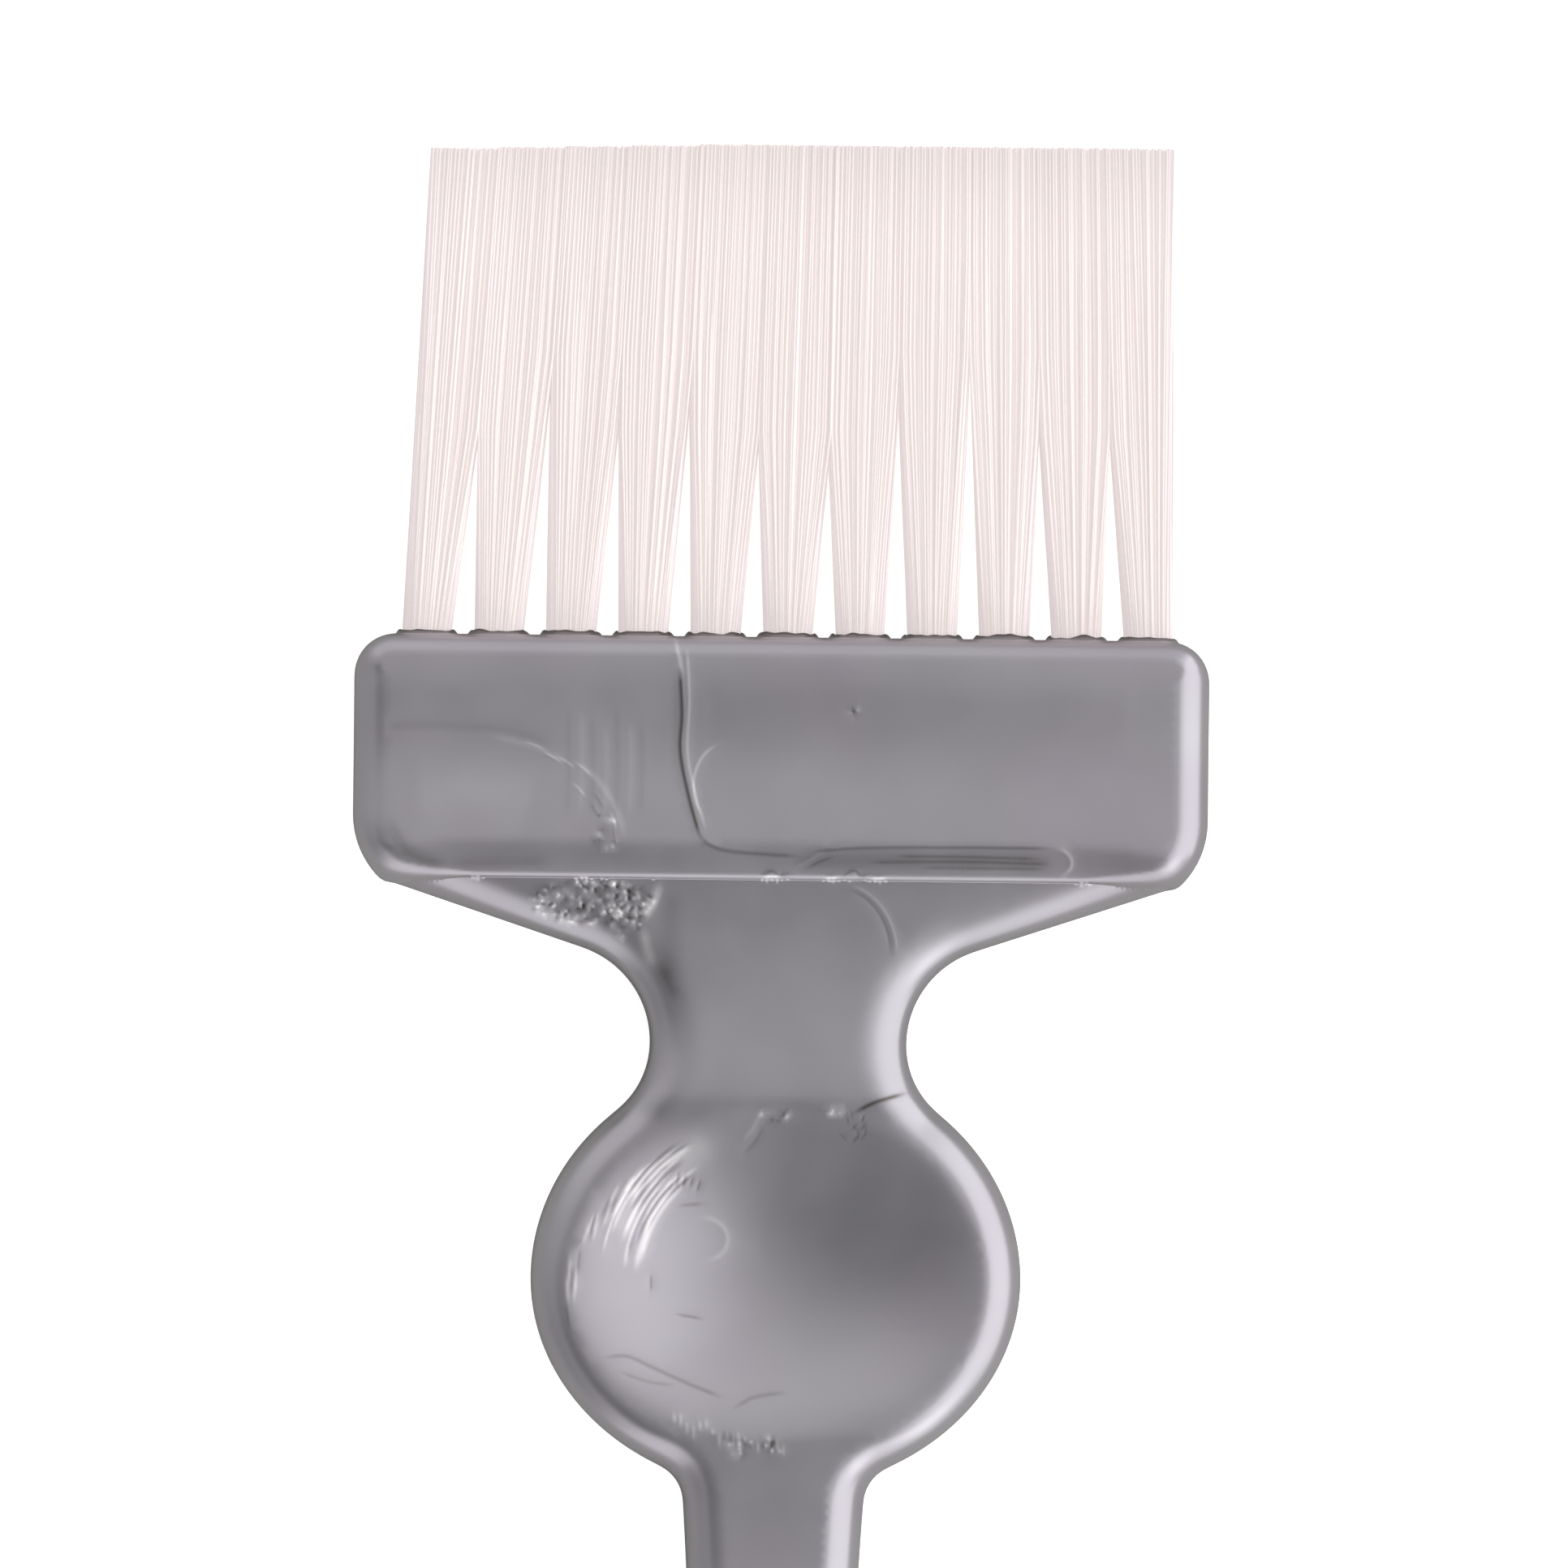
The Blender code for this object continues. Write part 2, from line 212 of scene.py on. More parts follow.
# Heights in mm where neighbouring tufts meet, from left to right
MEET_HEIGHTS = [16.5, 21.5, 19, 19.5, 17, 15.5, 20, 24, 19.5, 17.5]

# Camera
CAMERA_DISTANCE = 0.75
SHOWN_WIDTH = 0.1219
CAMERA_BELOW_HEAD_TOP = 11.4 * MM
CAMERA_RIGHT = 0.25 * MM
CAMERA_ROLL = math.radians(0.62)
SENSOR_WIDTH = 36


# ---------------------------------------------------------------- outline

def circle(centre, radius, sides):
    """Points round a circle."""
    angles = 2 * math.pi * np.arange(sides) / sides
    return np.stack([centre[0] + radius * np.cos(angles), centre[1] + radius * np.sin(angles)], 1)


def arc(centre, radius_x, radius_y, start, end):
    """Points on an elliptical arc about OUTLINE_STEP apart, both ends included."""
    length = abs(end - start) * max(radius_x, radius_y)
    steps = max(2, math.ceil(length / OUTLINE_STEP))
    angles = np.linspace(start, end, steps + 1)
    return [(centre[0] + radius_x * math.cos(a), centre[1] + radius_y * math.sin(a)) for a in angles]


def line(start, end):
    """Points between two points, without either of them."""
    steps = max(1, math.ceil(math.dist(start, end) / OUTLINE_STEP))
    return [(start[0] + (end[0] - start[0]) * k / steps, start[1] + (end[1] - start[1]) * k / steps)
            for k in range(1, steps)]


def ellipse_fillet(semi_x, semi_y, centre_y, radius, side_x, low, high):
    """The ellipse's angle and the centre of the circle that touches it and the line x = side_x."""
    def circle_centre(angle):
        normal = Vector((math.cos(angle) / semi_x, math.sin(angle) / semi_y)).normalized()
        return Vector((semi_x * math.cos(angle), centre_y + semi_y * math.sin(angle))) + radius * normal

    target = side_x + radius
    for _ in range(60):
        middle = (low + high) / 2
        if (circle_centre(middle).x > target) == (circle_centre(low).x > target):
            low = middle
        else:
            high = middle
    return low, circle_centre(low)


def head_side():
    """Right half of the head's outline, from the top middle to the end of its low corner."""
    corner_x = HEAD_HALF_WIDTH - HEAD_TOP_RADIUS
    points = [(0, 0)] + line((0, 0), (corner_x, 0))
    points += arc((corner_x, -HEAD_TOP_RADIUS), HEAD_TOP_RADIUS, HEAD_TOP_RADIUS, math.pi / 2, 0)
    centre = (HEAD_HALF_WIDTH - HEAD_LOW_RADIUS, HEAD_LOW_CORNER - HEAD_DEPTH)
    turn = math.asin((HEAD_LOW_CORNER + HEAD_LOW_DIP) / HEAD_LOW_RADIUS)
    low = arc(centre, HEAD_LOW_RADIUS, HEAD_LOW_RADIUS, 0, -turn)
    return points + line(points[-1], low[0]) + low


def crease(x):
    """The head's lower edge, which dips a little towards its corners."""
    return -HEAD_DEPTH - HEAD_LOW_DIP * smoothstep((np.abs(x) - HEAD_DIP_START) / HEAD_DIP_LENGTH)


def plate_side():
    """Right edge of the plate, from its root in the head's low corner down to the tail."""
    upper, waist = ellipse_fillet(DISC_HALF_WIDTH, DISC_UPPER_HALF, DISC_CENTRE,
                                  WAIST_LOWER_RADIUS, WAIST_HALF_WIDTH, 0.3, 1.5)
    lower, stem = ellipse_fillet(DISC_HALF_WIDTH, DISC_LOWER_HALF, DISC_CENTRE,
                                 STEM_FILLET, STEM_HALF_WIDTH, -1.5, -0.3)
    neck = arc((WAIST_HALF_WIDTH + WAIST_UPPER_RADIUS, waist.y), WAIST_UPPER_RADIUS,
               WAIST_UPPER_RADIUS, math.pi / 2 + SHOULDER_SLOPE, math.pi)
    root_x = head_side()[-1][0] - PLATE_ROOT_INSET
    root = (root_x, neck[0][1] + (root_x - neck[0][0]) * math.tan(SHOULDER_SLOPE))
    points = [root] + line(root, neck[0]) + neck
    points += arc(waist, WAIST_LOWER_RADIUS, WAIST_LOWER_RADIUS, math.pi, math.pi + upper)[1:-1]
    points += arc((0, DISC_CENTRE), DISC_HALF_WIDTH, DISC_UPPER_HALF, upper, 0)
    points += arc((0, DISC_CENTRE), DISC_HALF_WIDTH, DISC_LOWER_HALF, 0, lower)[1:-1]
    points += arc(stem, STEM_FILLET, STEM_FILLET, math.pi + lower, math.pi)
    return points + stem_side(stem.y)


def stem_side(start_y):
    """Stem edge from the disc's fillet down round the hanging eye."""
    reach = EYE_RADIUS + EYE_FILLET
    eye_y = TAIL - HEAD_TOP + EYE_RADIUS
    fillet_x = STEM_END_HALF_WIDTH + EYE_FILLET
    fillet_y = eye_y + math.sqrt(reach ** 2 - fillet_x ** 2)
    count = math.ceil((start_y - fillet_y) / OUTLINE_STEP)
    extra = STEM_HALF_WIDTH - STEM_END_HALF_WIDTH
    down = [(start_y - fillet_y) * k / count for k in range(1, count)]
    points = [(STEM_END_HALF_WIDTH + extra * math.exp(-d / STEM_TAPER_LENGTH), start_y - d)
              for d in down]
    turn = math.asin((fillet_y - eye_y) / reach)
    points += arc((fillet_x, fillet_y), EYE_FILLET, EYE_FILLET, math.pi, math.pi + turn)
    return points + arc((0, eye_y), EYE_RADIUS, EYE_RADIUS, turn, -math.pi / 2)[1:]


def smooth_loop(points, passes):
    """Slides the points of a closed loop towards their neighbours, to ease the joins of arcs."""
    loop = np.array(points)
    for _ in range(passes):
        loop = 0.5 * loop + 0.25 * (np.roll(loop, 1, 0) + np.roll(loop, -1, 0))
    return loop


def closed(half):
    """A closed outline in the row frame, from its right half, clockwise from the top middle."""
    left = [(-x, y) for x, y in reversed(half) if x > 1e-6]
    return np.array(half + left) + [0, HEAD_TOP]


def handle_outline():
    """Outline of head and plate together."""
    outline = smooth_loop(closed(head_side() + plate_side()), JOIN_PASSES)
    outline[:, 1] += HEAD_TOP - outline[:, 1].max()
    return outline


def head_outline():
    """Outline of the head alone."""
    side = head_side()
    xs = np.arange(side[-1][0] - CREASE_STEP, 0, -CREASE_STEP)
    return closed(side + [(x, crease(x)) for x in xs])


def head_sides():
    """The head's top and sides, run on past its lower corners, and the edge radius at each point."""
    side = head_side()
    (x0, y0), (x1, y1) = side[-2:]
    run = CORNER_RUN / math.dist((x0, y0), (x1, y1))
    beyond = (x1 + (x1 - x0) * run, y1 + (y1 - y0) * run)
    loop = closed(side + line(side[-1], beyond) + [beyond])
    high = smoothstep(1 - (HEAD_TOP - loop[:, 1]) / HEAD_TOP_RADIUS)
    return loop, HEAD_EDGE_RADIUS + (HEAD_BROW_RADIUS - HEAD_EDGE_RADIUS) * high


def plate_outline():
    """Outline of the plate alone, closed inside the head, and the edge radius at each point."""
    side = plate_side()
    loop = closed([(0, PLATE_ROOT), (side[0][0], PLATE_ROOT)] + side)
    below = HEAD_TOP - loop[:, 1]
    waist = smoothstep((below - WAIST_TOP) / WAIST_BLEND)
    waist = waist * smoothstep((WAIST_END - below) / WAIST_BLEND)
    return loop, PLATE_EDGE_RADIUS + (WAIST_EDGE_WIDTH - PLATE_EDGE_RADIUS) * waist


# ---------------------------------------------------------------- heights of the faces

def smoothstep(t):
    t = np.clip(t, 0, 1)
    return t * t * (3 - 2 * t)


def inside_loop(points, loop):
    """Even-odd test of points against a closed loop."""
    inside = np.zeros(len(points), bool)
    for (x0, y0), (x1, y1) in zip(loop, np.roll(loop, -1, 0)):
        if y0 == y1:
            continue
        crosses = (points[:, 1] > y0) != (points[:, 1] > y1)
        at = x0 + (points[:, 1] - y0) * (x1 - x0) / (y1 - y0)
        inside ^= crosses & (points[:, 0] < at)
    return inside


def tree_of(points):
    tree = kdtree.KDTree(len(points))
    for i, (x, y) in enumerate(points):
        tree.insert((x, y, 0), i)
    tree.balance()
    return tree


def distance_to_loop(points, loop, radii=None):
    """Distance from each point to a closed loop, and the edge radius at the nearest place on it."""
    tree = tree_of(loop)
    near = np.array([tree.find((x, y, 0))[1] for x, y in points])
    radii = np.zeros(len(loop)) if radii is None else radii
    far, radius = np.full(len(points), 1.0), np.zeros(len(points))
    for first in (near - 1, near):
        second = (first + 1) % len(loop)
        span = loop[second] - loop[first]
        away = points - loop[first]
        share = np.clip((away * span).sum(1) / np.maximum((span ** 2).sum(1), 1e-18), 0, 1)
        gap = np.linalg.norm(away - share[:, None] * span, axis=1)
        closer = gap < far
        far[closer] = gap[closer]
        radius[closer] = (radii[first] * (1 - share) + radii[second] * share)[closer]
    return far, radius


def edge_drop(distance, radius):
    """How far a rounded edge has fallen, at a distance inside its outline.

    An edge wider than the plate's is no deeper, and it starts more gently.
    """
    share = np.clip(1 - distance / radius, 0, 1)
    power = 2 + np.clip((radius - PLATE_EDGE_RADIUS) / (WAIST_EDGE_WIDTH - PLATE_EDGE_RADIUS), 0, 1)
    return np.minimum(radius, PLATE_EDGE_RADIUS) * (1 - (1 - share ** power) ** (1 / power))


def stem_swell(y):
    """How far the stem thickens towards the eye, so that head and tail lie level."""
    top = HEAD_TOP + DISC_CENTRE - DISC_LOWER_HALF
    end = TAIL + 2.5 * EYE_RADIUS
    along = np.clip((top - y) / (top - end), 0, 1)
    return (HEAD_HALF_THICKNESS - PLATE_HALF_THICKNESS) * (1 - np.cos(math.pi * along)) / 2


def dish(x, y):
    """Depth of the oval thumb dish."""
    v = y - (HEAD_TOP + DISC_CENTRE)
    reach = np.where(v > 0, DISH_UPPER, DISH_LOWER)
    inside = np.clip(1 - (x / DISH_HALF_WIDTH) ** 2 - (v / reach) ** 2, 0, 1)
    return DISH_DEPTH * inside ** DISH_SOFTNESS


def lips(y):
    """The low crests across the neck and the stem, and the shallow sink that follows the second."""
    above = y - (HEAD_TOP + LIP_PLACE)
    upper = np.exp(-(above / np.where(above > 0, LIP_RISE, LIP_FALL)) ** 2)
    below = y - (HEAD_TOP + STEM_LIP_PLACE)
    lower = np.exp(-(below / np.where(below > 0, STEM_LIP_RISE, STEM_LIP_FALL)) ** 2)
    back = smoothstep(1 + (below + STEM_SINK_LENGTH) / (4 * STEM_SINK_LENGTH))
    down = smoothstep(-below / STEM_SINK_LENGTH) * back
    return LIP_HEIGHT * upper + STEM_LIP_HEIGHT * lower - STEM_SINK * down


def plate_height(x, y):
    """Height of the plate's face before its edges are rounded."""
    below = -(y - HEAD_TOP) - HEAD_DEPTH
    rise = NECK_RISE * np.clip(1 - below / NECK_LENGTH, 0, 1.2) ** 2
    return PLATE_HALF_THICKNESS + stem_swell(y) + rise + lips(y) - dish(x, y)


def head_height(x, y):
    """Height of the head's face before its edges are rounded."""
    below = HEAD_TOP - y
    sink = HEAD_SINK * smoothstep(1 - np.abs(2 * below / HEAD_DEPTH - 1))
    above = (y - HEAD_TOP - crease(x)) / CREASE_BAND
    slope = CREASE_DROP * np.clip(1 - above, 0, 1) ** CREASE_CURVE
    slope = slope + BROW_DROP * np.clip(1 - below / BROW_BAND, 0, 1) ** 2
    return HEAD_HALF_THICKNESS - FACE_INSET - sink - slope


def lip_drop(x, y):
    """Fall of the head's lower edge into the crease: tight in the middle, wide at the corners."""
    inward = smoothstep((LIP_CORNER - np.abs(x)) / LIP_SPREAD) ** LIP_TAPER
    radius = HEAD_EDGE_RADIUS + (HEAD_LIP_RADIUS - HEAD_EDGE_RADIUS) * inward
    return edge_drop(np.maximum(y - HEAD_TOP - crease(x), 0), radius)


class FaceShape:
    """The height of a face of the handle over the plane, from the outlines of its two parts."""

    def __init__(self):
        self.head = head_outline()
        self.sides, self.side_radii = head_sides()
        self.plate, self.plate_radii = plate_outline()

    def height(self, xy):
        """Height above the mid-plane at each of an array of points."""
        x, y = xy[:, 0], xy[:, 1]
        far, radius = distance_to_loop(xy, self.plate, self.plate_radii)
        inside = inside_loop(xy, self.plate)
        plate = plate_height(x, y) - edge_drop(np.where(inside, far, 0), radius)
        far, _ = distance_to_loop(xy, self.head)
        inside = inside_loop(xy, self.head)
        side_far, radius = distance_to_loop(xy, self.sides, self.side_radii)
        side = edge_drop(np.where(inside, side_far, 0), radius)
        lip = lip_drop(x, y)
        head = head_height(x, y) - (side ** CORNER_POWER + lip ** CORNER_POWER) ** (1 / CORNER_POWER)
        total = np.where(inside | (far < ON_EDGE), np.maximum(plate, head), plate)
        far = np.hypot(x, y - TAIL - EYE_RADIUS) - HANGING_HOLE_RADIUS
        return total - edge_drop(np.maximum(far, 0), HOLE_EDGE_RADIUS)


# ---------------------------------------------------------------- marks in the moulding

def spline(points, step):
    """A Catmull-Rom curve through points in the plane, sampled about every step."""
    p = np.array(points, float)
    p = np.vstack([2 * p[0] - p[1], p, 2 * p[-1] - p[-2]])
    out = []
    for a, b, c, d in zip(p, p[1:], p[2:], p[3:]):
        count = max(2, math.ceil(np.linalg.norm(c - b) / step))
        for t in np.arange(count) / count:
            out.append(0.5 * (2 * b + (c - a) * t + (2 * a - 5 * b + 4 * c - d) * t ** 2
                              + (3 * b - a - 3 * c + d) * t ** 3))
    out.append(p[-2])
    return np.array(out)


def sweep(centre, radii, start, end):
    """Points in mm along an elliptical arc; the angles are in degrees."""
    angles = np.radians(np.linspace(start, end, 7))
    return [(centre[0] + radii[0] * math.cos(a), centre[1] + radii[1] * math.sin(a)) for a in angles]


# Each stroke below is its height in mm (a ridge is positive), its half width in mm, its tone
# (negative is darker), and points in mm from the middle of the head's top edge.

# A few strokes without height are painted highlight or painted shade rather than marks in the plastic
def knit_line():
    """Where two fronts of the melt met: across the head, then along its lower edge."""
    return [
        (0.008, 0.16, 0.45, [(-8.3, -0.2), (-8.0, -1.6), (-7.7, -3.2)]),
        (0.016, 0.16, -1.0, [(-7.9, -2.6), (-7.7, -6), (-7.8, -9), (-7.1, -12.5), (-6.2, -15.6)]),
        (0.010, 0.16, -0.50, [(-6.4, -15.2), (-5.4, -16.2), (-3.4, -16.7), (1.5, -17)]),
        (0.010, 0.13, 0.40, [(-7.4, -1), (-7.2, -5), (-7.3, -9), (-6.6, -12.5), (-5.8, -15)]),
        (0.008, 0.13, 0.45, sweep((-4.0, -11.6), (2.8, 3.4), 110, 225)),
    ]


def flow_bow(chance):
    """The bow that an earlier front left on the left of the head, with short folds along it."""
    middle, radii = (-24, -17), (12, 9.7)
    strokes = [
        (0.0, 2.3, 0.12, [(-28.5, -12.4), (-23.5, -12.2), (-19, -13.2)]),
        (-0.006, 0.35, -0.14, [(-31, -7.3), (-27.5, -7.2)] + sweep(middle, radii, 90, 60)),
        (0.006, 0.22, 0.12, sweep(middle, (11.5, 9.0), 82, 50)),
        (0.008, 0.28, 0.20, sweep(middle, radii, 46, 8)),
    ]
    for k in range(9):
        reach = 10.4 + 2.2 * chance.random()
        begin = 68 - 7 * k + chance.uniform(-3, 3)
        tone = chance.choice((-0.25, 0.35, 0.35))
        strokes.append((0.008, 0.1, tone, sweep(middle, (reach, 0.81 * reach), begin, begin - 9)))
    for k in range(7):
        x = -16.5 + 0.95 * k
        tone = 0.10 if k % 2 else -0.10
        top = -6.5 + chance.uniform(-1, 1)
        strokes.append((0.003, 0.24, tone, [(x, top), (x + 0.1, -10), (x, -14)]))
    return strokes


def flow_front_and_painted_shade():
    """The darker upper right, the long round-ended front above the crease, flecks of flash, and painted
    shade along the inner edge of the head's lower-left corner.
    """
    return [
        (0.0, 2.6, -0.11, [(-6, -5.6), (10, -5.4), (27, -5.6)]),
        (0.0, 0.65, -0.26, [(0.9, -17.4), (8, -17.3), (15, -17.3), (21.4, -17.3)]),
        (0.004, 0.12, -0.38, [(9, -16.9), (15, -16.9), (20, -17.0)]),
        (0.004, 0.12, -0.34, [(7, -17.4), (14, -17.3), (21, -17.4)]),
        (0.004, 0.12, -0.30, [(11, -17.8), (16, -17.8), (20.6, -17.8)]),
        (-0.008, 0.13, -0.50, [(2.5, -16.6), (7, -16.3), (14, -16.2), (20.7, -16.2)]),
        (0.010, 0.14, 0.50, sweep((21, -17.3), (1.6, 1.15), 80, -60)),
        (0.008, 0.12, 0.25, [(1.2, -17.8), (2.2, -17.3), (3.4, -16.6)]),
        (-0.008, 0.10, -0.30, [(1.9, -18.0), (3.0, -17.4), (4.3, -16.9)]),
        (0.020, 0.14, -0.40, [(-1.4, -18.5), (-0.6, -18.2), (0.1, -18.5), (0.9, -18.4)]),
        (0.020, 0.14, -0.40, [(5.0, -18.5), (5.8, -18.1), (6.4, -18.5), (7.1, -18.3)]),
        (0.030, 0.20, 0.70, [(-1.4, -18.75), (-0.6, -18.55), (0.2, -18.7)]),
        (0.030, 0.18, 0.60, [(3.4, -18.75), (4.6, -18.6)]),
        (0.030, 0.18, 0.60, [(7.0, -18.75), (8.3, -18.6)]),
        # Painted shade: a dark line without relief along the inner edge of the lower-left corner's
        # rounding, where the edge turns from the light
        (0.0, 0.5, -0.40, sweep((-26.2, -13.8), (4.2, 4.0), 190, 275)),
        (0.0, 0.4, -0.22, [(-25.6, -17.8), (-22, -17.7), (-18, -17.6)]),
    ]


def neck_strokes():
    """Painted highlight and painted shade at the neck's edges: a light line with a little relief and a
    darker band beside its left edge, and a light and a dark curve with a little relief on its right.
    """
    return [
        # Painted highlight and painted shade: the light lines and dark bands stand in for the lit and
        # shaded left edge of the neck
        (0.020, 0.34, 0.80, [(-9.3, -19.2), (-9.9, -20.8), (-10.8, -22.2)]),
        (0.020, 0.36, 0.70, [(-10.7, -22.6), (-10.3, -24.2), (-9.7, -25.8)]),
        (0.0, 0.9, -0.24, [(-8.4, -19.6), (-8.4, -23), (-8.2, -27)]),
        (-0.020, 0.40, -0.40, [(-9.2, -25), (-8.8, -26.4), (-7.8, -28.4)]),
        # Painted highlight and painted shade: a light and a dark curve for the neck's right edge
        (0.008, 0.13, 0.25, sweep((4.2, -24.5), (4.9, 5.5), 76, 0)),
        (-0.008, 0.12, -0.20, sweep((4.2, -24.5), (4.4, 5.1), 76, 0)),
    ]


def dish_smears_and_painted_highlight(chance):
    """A painted highlight on the dish's upper-left inner wall, then streaks that follow the dish's left
    rim: long ones inside it, short ones out on the rim.
    """
    middle = (0, DISC_CENTRE / MM)
    # Painted highlight: a wide light band without relief where the dish's upper-left wall faces the
    # light
    strokes = [(0.0, 1.2, 0.26, sweep(middle, (11.9, 11.9), 114, 166))]
    for k in range(22):
        sign = -1 if k % 3 == 1 else 1
        reach = 10.1 + 0.15 * k
        begin = 121 + 18 * chance.random()
        end = begin + chance.uniform(18, 40)
        width = chance.choice((0.10, 0.15, 0.22))
        path = sweep(middle, (reach + 0.5, reach), begin, end)
        strokes.append((0.05 * width * sign, width, 0.50 * sign, path))
    for k in range(18):
        sign = -1 if k % 3 == 2 else 1
        reach = 13.5 + 0.17 * k
        begin = 146 + 2.2 * k + chance.uniform(-5, 5)
        path = sweep(middle, (reach, reach + 0.5), begin, begin + 7)
        strokes.append((0.006 * sign, 0.13, 0.32 * sign, path))
    return strokes


def dish_folds(chance):
    """Short folds where the melt filled the dish last."""
    strokes = [
        (-0.014, 0.17, -1.0, [(10.1, -35.3), (7.7, -36.0), (5.9, -36.9)]),
        (0.008, 0.20, 0.20, [(-1.3, -36.9), (-1.9, -38.1), (-2.8, -39.3)]),
        (-0.008, 0.16, -0.20, [(-1.0, -37.9), (-1.7, -39.1), (-2.7, -40.3)]),
        (-0.008, 0.16, -0.35, [(-7.7, -44.3), (-5.7, -44.1)]),
        (0.006, 0.20, 0.20, sweep((-5.8, -46.9), (2.0, 1.7), 95, -80)),
        (-0.008, 0.11, -0.45, [(-9.7, -49.6), (-9.7, -51.0)]),
        (-0.008, 0.12, -0.45, [(-7.8, -52.7), (-5.6, -53.1)]),
        (-0.010, 0.16, -0.38,
         [(-13.4, -56.1), (-11.5, -56), (-9.6, -56.8), (-6.9, -58), (-4.1, -59.1)]),
        (-0.010, 0.16, -0.34, [(-3.2, -60.0), (-1.6, -59.1), (0.9, -58.7)]),
        (-0.008, 0.14, -0.26, [(-12.2, -57.1), (-10, -57.9), (-7.7, -58.2)]),
    ]
    for k in range(4):
        x, y = -7.6 + 0.55 * k, -41.6 - 0.2 * k
        strokes.append((-0.008, 0.12, -0.38, [(x, y), (x - 0.3, y - chance.uniform(0.7, 1.4))]))
    for k in range(18):
        x = -7.8 + 0.5 * k
        y = -60.3 - 0.15 * k + chance.uniform(-0.5, 0.5)
        tone = chance.choice((-0.25, 0.32, 0.32))
        strokes.append((0.008, 0.14, tone, [(x, y), (x + 0.05, y - chance.uniform(0.6, 1.3))]))
    for k in range(14):
        x, y = 6.1 + chance.uniform(-0.9, 0.9), -38.2 + chance.uniform(-1.4, 1.2)
        turn = chance.uniform(0.6, 2.4)
        end = (x + 0.8 * math.cos(turn), y + 0.8 * math.sin(turn))
        strokes.append((-0.006, 0.10, -0.30, [(x, y), end]))
    return strokes


def front_strokes():
    """Every stroke on the front."""
    chance = random.Random(12)
    strokes = knit_line() + flow_bow(chance) + flow_front_and_painted_shade() + neck_strokes()
    return strokes + dish_smears_and_painted_highlight(chance) + dish_folds(chance)


# Speckled patches where the melt froze in grains: middle, half sizes in mm, and count of grains
FRONT_PATCHES = [
    ((-14.6, -20.7), (4.8, 1.7), 200),
    ((-11.9, -21.6), (1.5, 1.9), 40),
    ((-0.3, -37.1), (1.4, 0.5), 7),
    ((4.4, -36.9), (0.5, 0.4), 4),
    ((-1.9, -63.0), (2.6, 0.9), 16),
    ((5.5, -5.9), (0.4, 0.6), 5),
    ((-13.4, -15.4), (1.5, 1.6), 10),
]

# Witness circles of the ejector pins, on the back: place and radius in mm
BACK_PINS = [((-24, -9.5), 2.0), ((24, -9.5), 2.0), ((0, -26.5), 1.8),
             ((0, -72), 1.6), ((0, -140), 1.6)]
PIN_DEPTH = 0.08 * MM
PIN_RIM = 0.18 * MM
PIN_SIDES = 48

# Strokes fade over their end steps. Wide ones are too soft to need mesh points of their own.
STROKE_STEP = 0.2 * MM
FADE_STEPS = 6
FADE_SHARE = 0.3
FADE_START = 0.15
WIDE_STROKE = 0.38 * MM
MARK_FADE = 1.2 * MM

# Grains: radius in mm, relief as a share of the radius, and tone
GRAIN_RADII = (0.11, 0.24)
GRAIN_RELIEF = 0.10
GRAIN_TONES = (0.25, 0.8)


def on_handle(point):
    """A point in mm from the head's top edge, in the row frame."""
    return np.array([point[0] * MM, HEAD_TOP + point[1] * MM])


